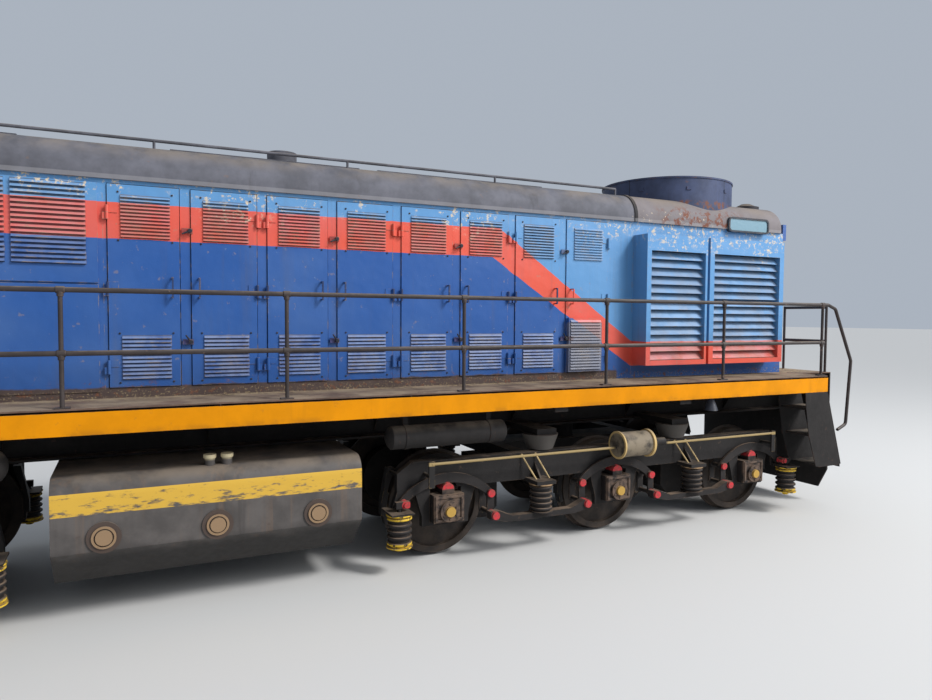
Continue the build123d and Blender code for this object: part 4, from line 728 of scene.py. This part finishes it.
paints = {
    "hood": {"paint": "livery", "bare": (150, 132, 112), "roughness": 0.42, "marks": hoodMarks,
             "streaks": 0.3, "streakColor": (84, 84, 90), "spots": 0.35, "dust": 0.8, "dentScale": 2.2,
             "dents": 0.014},
    "roof": {"paint": (104, 104, 112), "bare": (124, 98, 82), "roughness": 0.7, "marks": roofMarks,
             "streaks": 0.7, "streakColor": (72, 70, 74), "dentScale": 2.0, "dents": 0.012},
    "ring": {"paint": (66, 76, 106), "bare": (120, 84, 66), "roughness": 0.6, "marks": ringMarks,
             "dentScale": 2.0, "dents": 0.01},
    "frame": {"paint": (36, 33, 32), "bare": (84, 60, 48), "roughness": 0.8, "marks": frameMarks},
    "coupler": {"paint": (78, 62, 54), "bare": (120, 84, 62), "roughness": 0.75, "mottle": 0.6},
    "deck": {"paint": (112, 90, 78), "bare": (92, 60, 44), "roughness": 0.85, "marks": deckMarks,
             "mottle": 0.7, "dustColor": (150, 132, 110), "dust": 0.9},
    "fascia": {"paint": (218, 138, 4), "bare": (120, 84, 50), "roughness": 0.42, "marks": fasciaMarks,
               "mottle": 0.94, "spots": 0.15, "streaks": 0.2, "streakColor": (130, 84, 24),
               "dentScale": 2.0, "dents": 0.01, "gloss": 0.1},
    "rail": {"paint": (64, 56, 54), "bare": (128, 104, 90), "roughness": 0.5, "spots": 0.5},
    "tank": {"paint": (92, 87, 84), "bare": (70, 56, 48), "roughness": 0.55, "marks": tankMarks,
             "streaks": 0.7, "streakColor": (58, 54, 52), "dentScale": 1.6, "dents": 0.012},
    "bogie": {"paint": (38, 35, 34), "bare": (104, 84, 68), "roughness": 0.75, "dust": 0.9,
              "dustColor": (108, 94, 80)},
    "gear": {"paint": (40, 36, 35), "bare": (110, 88, 70), "roughness": 0.7, "marks": gearMarks,
             "dust": 0.9, "dustColor": (122, 104, 88)},
    "brake": {"paint": (38, 35, 34), "bare": (150, 124, 84), "roughness": 0.7, "marks": brakeMarks,
              "spots": 0.2},
    "wheel": {"paint": (44, 38, 35), "bare": (96, 78, 66), "roughness": 0.65, "marks": wheelMarks,
              "dust": 0.3},
    "lamp": {"paint": (58, 60, 68), "bare": (120, 100, 86), "roughness": 0.4, "marks": lampMarks},
    "engine": {"paint": (84, 90, 86), "bare": (60, 56, 52), "roughness": 0.5},
    "catch": {"paint": (40, 42, 52), "bare": (90, 72, 60), "roughness": 0.5},
    "stay": {"paint": (206, 178, 126), "bare": (110, 84, 60), "roughness": 0.55},
}
finishes = {name: makePaint(name, look) for name, look in paints.items()}

glassLook = {"color": (150, 165, 168), "roughness": 0.05, "transmission": 0.9}


def makeGlass(look):
    material, _, shader = newMaterial("windowGlass")
    shader["Base Color"].default_value = linear(*look["color"])
    shader["Roughness"].default_value = look["roughness"]
    shader["Transmission Weight"].default_value = look["transmission"]
    return material


finishes["glass"] = makeGlass(glassLook)
finishOf = {  # longest match of the node's name wins
    "": "hood",
    "hood_roof": "roof", "radiator_roof": "roof", "cab_roof": "roof", "roof_fittings": "roof",
    "fan_ring": "ring", "cooling_fan": "ring", "main_frame": "frame", "corner_stairs": "frame",
    "couplers": "coupler", "walkway_deck": "deck", "walkway_fascia": "fascia", "side_railings": "rail",
    "end_railings": "rail", "cab_glass": "glass", "lamps": "lamp", "fuel_tank": "tank",
    "air_reservoirs": "frame", "engine_block": "engine", "bogie_frame": "bogie", "axle_gear": "gear",
    "brake_gear": "brake", "wheelset": "wheel",
}
for nodeName, node in cad.items():
    key = max((part for part in finishOf if part in nodeName), key=len)
    for materialSlot in node.material_slots:
        materialSlot.material = finishes[finishOf[key]]
print("finishes set")


# Modelling

def applyPlace():
    bpy.ops.object.transform_apply(location=True, rotation=True, scale=True)


def addCylinder(sideCount, radius, depth, location, rotation=(0, 0, 0)):
    bpy.ops.object.select_all(action="DESELECT")
    bpy.ops.mesh.primitive_cylinder_add(vertices=sideCount, radius=radius, depth=depth,
                                        location=location, rotation=rotation)
    return bpy.context.object


def selectFaces(piece, wanted):
    # leaves the piece in edit mode with only the wanted faces selected
    bpy.ops.object.mode_set(mode="EDIT")
    bpy.ops.mesh.select_mode(type="FACE")
    bpy.ops.mesh.select_all(action="DESELECT")
    bpy.ops.object.mode_set(mode="OBJECT")
    for face in piece.data.polygons:
        face.select = wanted(face)
    bpy.ops.object.mode_set(mode="EDIT")


def makeBolt(radius, depth, chamfer, location):
    # a hexagon head that faces out on the right-hand side
    bolt = addCylinder(6, radius, depth, location, (math.radians(90), 0, 0))
    bpy.ops.object.transform_apply(location=False, rotation=True, scale=False)
    selectFaces(bolt, lambda face: face.normal.y < -0.9)
    bpy.ops.mesh.inset(thickness=chamfer)
    bpy.ops.transform.translate(value=(0, -chamfer / 2, 0))
    bpy.ops.object.mode_set(mode="OBJECT")
    return bolt


def makeCollar(sideCount, radius, length, bevel, location, rotation=(0, 0, 0)):
    # a short round piece with rounded rims
    collar = addCylinder(sideCount, radius, length, location, rotation)
    selectFaces(collar, lambda face: abs(face.normal.z) > 0.9)
    bpy.ops.mesh.bevel(offset=bevel, segments=2)
    bpy.ops.object.mode_set(mode="OBJECT")
    return collar


def duplicateBy(piece, offset):
    bpy.ops.object.select_all(action="DESELECT")
    piece.select_set(True)
    bpy.context.view_layer.objects.active = piece
    bpy.ops.object.duplicate(linked=False)
    copy = bpy.context.object
    copy.location = [a + b for a, b in zip(piece.location, offset)]
    return copy


def joined(pieces):
    bpy.ops.object.select_all(action="DESELECT")
    for piece in pieces:
        piece.select_set(True)
    bpy.context.view_layer.objects.active = pieces[0]
    bpy.ops.object.join()
    return bpy.context.object


def spread(pattern, offsets):
    # one piece of a copy of the pattern at each offset
    copies = joined([duplicateBy(pattern, offset) for offset in offsets])
    applyPlace()
    return copies


def arrayed(piece, count, step):
    modifier = piece.modifiers.new("row", "ARRAY")
    modifier.count = count
    modifier.use_relative_offset = False
    modifier.use_constant_offset = True
    modifier.constant_offset_displace = step
    bpy.context.view_layer.objects.active = piece
    bpy.ops.object.modifier_apply(modifier=modifier.name)


def settle(piece, sign, name, finish, body):
    # mirrors a left-hand piece, puts its place into its mesh, dresses it, hangs it on a body and turns
    # its faces outwards again
    piece.location.y *= sign
    piece.scale = (1, sign, 1)
    applyPlace()
    piece.name = name
    piece.data.name = name
    piece.data.materials.clear()
    piece.data.materials.append(finishes[finish])
    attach(piece, body)
    bpy.ops.object.mode_set(mode="EDIT")
    bpy.ops.mesh.select_all(action="SELECT")
    bpy.ops.mesh.normals_make_consistent(inside=False)
    bpy.ops.object.mode_set(mode="OBJECT")


def discard(piece):
    bpy.ops.object.select_all(action="DESELECT")
    piece.select_set(True)
    bpy.ops.object.delete()


# Places of the hinged doors: kind, number and low edge

engineDoors = [("engine_door", index + 1, doorRow["firstX"] + doorRow["pitch"] * index)
               for index in range(doorRow["count"])]
rearDoors = [("rear_door", index + 1, lowX) for index, lowX in enumerate(doorRow["rearX"])]
boltedDoors = engineDoors[:-1] + rearDoors        # the last engine room door has a louvre box instead
latchedDoors = engineDoors[1::2] + rearDoors[1:]  # the second of each pair


def settleOnDoors(pattern, doors, ending):
    for kind, number, lowX in doors:
        for sideName, sign in sides:
            door = f"{kind}_{sideName}_{number}"
            settle(duplicateBy(pattern, (lowX, 0, 0)), sign, door + ending, "catch", door)
    discard(pattern)


# Bolts that hold each door's louvre plates

boltLook = {
    "radius": 0.009,
    "depth": 0.012,
    "chamfer": 0.003,
    "face": -0.882,                   # y of the right-hand door faces
    "columns": (0.082, 0.421, 2),     # first x from the leaf's low edge, step, count
    "rows": ((1.915, 0.421, 2), (3.122, 0.405, 2)),  # first height, step, count of each louvre field
}


def makeBoltPattern(look):
    fields = []
    firstX, stepX, countX = look["columns"]
    for firstZ, stepZ, countZ in look["rows"]:
        bolt = makeBolt(look["radius"], look["depth"], look["chamfer"], (firstX, look["face"], firstZ))
        arrayed(bolt, countX, (stepX, 0, 0))
        arrayed(bolt, countZ, (0, 0, stepZ))
        fields.append(bolt)
    return joined(fields)


settleOnDoors(makeBoltPattern(boltLook), boltedDoors, "_bolts")
print("door bolts made")


# Inclined stay rods between the side frames and the top plates of the middle springs

rodLook = {
    "radius": 0.009,
    "sideCount": 12,
    "ends": (((-0.170, -1.112, 1.030), (-0.040, -1.245, 0.748)),
             ((0.000, -1.112, 1.030), (0.120, -1.245, 0.748))),
    "springs": (-1.05, 1.05),         # from the pivot
    "foot": 0.014,                    # radius of the nut at each end
    "footDepth": 0.014,
}


def makeStayRod(look, start, end):
    start, end = Vector(start), Vector(end)
    middle = (start + end) / 2
    turn = (end - start).to_track_quat("Z", "Y").to_euler()
    rod = addCylinder(look["sideCount"], look["radius"], (end - start).length, middle, turn)
    selectFaces(rod, lambda face: abs(face.normal.z) > 0.9)
    bpy.ops.mesh.extrude_faces_move(TRANSFORM_OT_shrink_fatten={"value": 0.0})
    wider = look["foot"] / look["radius"]
    bpy.ops.transform.resize(value=(wider, wider, 1.0), orient_type="LOCAL", center_override=tuple(middle))
    bpy.ops.mesh.extrude_faces_move(TRANSFORM_OT_shrink_fatten={"value": look["footDepth"]})
    bpy.ops.object.mode_set(mode="OBJECT")
    return rod


def makeStayRods(look):
    pair = joined([makeStayRod(look, start, end) for start, end in look["ends"]])
    applyPlace()
    for bogieName, middleX in bogies:
        for sideName, sign in sides:
            rods = spread(pair, [(middleX + gap, 0, 0) for gap in look["springs"]])
            name = f"{bogieName}_stay_rods_{sideName}"
            settle(rods, sign, name, "stay", bogieName + "_bogie")
    discard(pair)


makeStayRods(rodLook)
print("stay rods made")


# Raised rim of each axle box and the bolts of its round cover

coverLook = {
    "rim": (0.306, 0.254),            # length, height
    "rimBorder": 0.024,
    "rimDepth": 0.012,
    "rimHeight": 0.579,               # middle of the box above the rail
    "boxFace": -1.195,                # y of the right-hand boxes' faces
    "bevel": 0.003,
    "coverFace": -1.225,
    "axleHeight": 0.553,
    "boltCount": 6,
    "boltCircle": 0.078,
    "boltRadius": 0.012,
    "boltDepth": 0.014,
}


def makeBoxRim(look):
    length, height = look["rim"]
    bpy.ops.object.select_all(action="DESELECT")
    bpy.ops.mesh.primitive_cube_add(
        size=1.0, location=(0, look["boxFace"] - look["rimDepth"] / 2, look["rimHeight"]),
        scale=(length, look["rimDepth"], height),
    )
    rim = bpy.context.object
    bpy.ops.object.transform_apply(location=False, rotation=False, scale=True)
    selectFaces(rim, lambda face: abs(face.normal.y) > 0.9)
    bpy.ops.mesh.inset(thickness=look["rimBorder"])
    bpy.ops.mesh.bridge_edge_loops()
    bpy.ops.object.mode_set(mode="OBJECT")
    selectFaces(rim, lambda face: face.normal.y < -0.9)
    bpy.ops.mesh.bevel(offset=look["bevel"], segments=2)
    bpy.ops.object.mode_set(mode="OBJECT")
    return rim


def makeCoverBolts(look):
    bolts = []
    for index in range(look["boltCount"]):
        turn = math.tau * (index + 0.5) / look["boltCount"]
        spot = (look["boltCircle"] * math.cos(turn), look["coverFace"],
                look["axleHeight"] + look["boltCircle"] * math.sin(turn))
        bolts.append(makeBolt(look["boltRadius"], look["boltDepth"], look["bevel"], spot))
    return bolts


def makeAxleCovers(look):
    pattern = joined([makeBoxRim(look), *makeCoverBolts(look)])
    applyPlace()
    for bogieName, middleX in bogies:
        for sideName, sign in sides:
            covers = spread(pattern, [(middleX + axleSpacing * step, 0, 0) for step in (-1, 0, 1)])
            name = f"{bogieName}_axle_covers_{sideName}"
            settle(covers, sign, name, "gear", bogieName + "_bogie")
    discard(pattern)


makeAxleCovers(coverLook)
print("axle covers made")


# Fittings where the rails pass the railing posts

jointLook = {
    "sleeve": (0.027, 0.062),         # radius, length along the rail
    "socket": (0.024, 0.050),         # radius, length down the post
    "sideCount": 14,
    "bevel": 0.004,
    "railY": -1.497,
    "heights": (2.677, 2.201),        # top rail, middle rail
    "postX": 3.873,                   # one of the evenly spaced posts
    "postSpacing": 1.665,
    "postSteps": (-4, -3, -2, -1, 0, 1, 2),
    "rearPosts": (-5.320, -6.260, -7.203),
}


def makeRailFitting(look):
    topZ = look["heights"][0]
    sleeve = makeCollar(look["sideCount"], *look["sleeve"], look["bevel"], (0, look["railY"], topZ),
                        (0, math.radians(90), 0))
    socket = makeCollar(look["sideCount"], *look["socket"], look["bevel"],
                        (0, look["railY"], topZ - look["socket"][1] / 2))
    return joined([sleeve, socket])


def makeRailJoints(look):
    fitting = makeRailFitting(look)
    applyPlace()
    posts = [look["postX"] + look["postSpacing"] * step for step in look["postSteps"]]
    posts += look["rearPosts"]
    drops = [height - look["heights"][0] for height in look["heights"]]
    for sideName, sign in sides:
        joints = spread(fitting, [(post, 0, drop) for post in posts for drop in drops])
        settle(joints, sign, "railing_joints_" + sideName, "rail", "body")
    discard(fitting)


makeRailJoints(jointLook)
print("railing joints made")


# Levers on the latch bars

leverLook = {
    "radius": 0.010,
    "sideCount": 10,
    "tip": 0.6,                       # share of the radius left at the tip
    "boss": (0.019, 0.030),           # radius, depth
    "bossSideCount": 14,
    "bevel": 0.004,
    "pivotX": -0.012,                 # from the leaf's low edge
    "pivotY": -0.912,
    "throws": ((3.230, (-0.066, -0.010, -0.032)), (2.260, (-0.044, -0.010, 0.060))),  # height, tip
}


def makeLever(look, height, throw):
    pivot = Vector((look["pivotX"], look["pivotY"], height))
    throw = Vector(throw)
    turn = throw.to_track_quat("Z", "Y").to_euler()
    rod = addCylinder(look["sideCount"], look["radius"], throw.length, pivot + throw / 2, turn)
    selectFaces(rod, lambda face: face.normal.z > 0.9)
    bpy.ops.transform.resize(value=(look["tip"],) * 3, center_override=tuple(pivot + throw))
    bpy.ops.mesh.bevel(offset=look["bevel"] / 2, segments=2)
    bpy.ops.object.mode_set(mode="OBJECT")
    boss = makeCollar(look["bossSideCount"], *look["boss"], look["bevel"], pivot, (math.radians(90), 0, 0))
    return [rod, boss]


def makeLevers(look):
    parts = []
    for height, throw in look["throws"]:
        parts += makeLever(look, height, throw)
    levers = joined(parts)
    applyPlace()
    return levers


settleOnDoors(makeLevers(leverLook), latchedDoors, "_levers")
print("door levers made")


# Camera, floor and light

cameraLook = {
    "spot": (-0.658, -7.506, 2.490),
    "turn": 25.66,      # degrees from +Y towards +X
    "pitch": -2.665,
    "roll": 0.370,
    "focal": 700.0,     # in pixels of a picture 932 wide
    "pictureWidth": 932.0,
    "sensorWidth": 36.0,
    "farthest": 1000.0,
}
lightLook = {
    "floorSize": 400.0,
    "floorColor": (0.62, 0.61, 0.59, 1.0),
    "floorRoughness": 0.9,
    "skyColor": (0.78, 0.87, 1.0, 1.0),
    "skyStrength": 0.52,
    "keySize": 12.0,
    "keyPower": 2750.0,
    "keySpot": (16.0, -13.0, 12.0),
    "keyTarget": (3.0, -1.0, 1.5),
    "sunStrength": 2.1,
    "sunAngle": 12.0,
    "sunTilt": (48.0, 0.0, 42.0),  # degrees: down from straight up, then round from the right
}


def makeCamera(look):
    data = bpy.data.cameras.new("camera")
    data.sensor_width = look["sensorWidth"]
    data.lens = look["focal"] / look["pictureWidth"] * look["sensorWidth"]
    data.clip_end = look["farthest"]
    camera = bpy.data.objects.new("camera", data)
    bpy.context.collection.objects.link(camera)
    turn = Matrix.Rotation(math.radians(-look["turn"]), 3, "Z")
    pitch = Matrix.Rotation(math.radians(90.0 + look["pitch"]), 3, "X")
    roll = Matrix.Rotation(math.radians(look["roll"]), 3, "Z")
    camera.rotation_euler = (turn @ pitch @ roll).to_euler()
    camera.location = look["spot"]
    bpy.context.scene.camera = camera


def makeFloor(look):
    bpy.ops.object.select_all(action="DESELECT")
    bpy.ops.mesh.primitive_plane_add(size=look["floorSize"])
    floor = bpy.context.object
    floor.name = "floor"
    material, _, shader = newMaterial("floorPaint")
    shader["Base Color"].default_value = look["floorColor"]
    shader["Roughness"].default_value = look["floorRoughness"]
    floor.data.materials.append(material)


def makeLight(look):
    world = bpy.data.worlds.new("sky")
    world.use_nodes = True
    background = world.node_tree.nodes["Background"].inputs
    background["Color"].default_value = look["skyColor"]
    background["Strength"].default_value = look["skyStrength"]
    bpy.context.scene.world = world
    bpy.ops.object.light_add(type="AREA", location=look["keySpot"])
    key = bpy.context.object
    key.data.size = look["keySize"]
    key.data.energy = look["keyPower"]
    direction = key.location - Vector(look["keyTarget"])
    key.rotation_euler = direction.to_track_quat("Z", "Y").to_euler()
    bpy.ops.object.light_add(type="SUN", rotation=[math.radians(angle) for angle in look["sunTilt"]])
    sun = bpy.context.object
    sun.data.energy = look["sunStrength"]
    sun.data.angle = math.radians(look["sunAngle"])


makeCamera(cameraLook)
makeFloor(lightLook)
makeLight(lightLook)
bpy.context.scene.view_settings.view_transform = "Standard"
print("camera and light set")
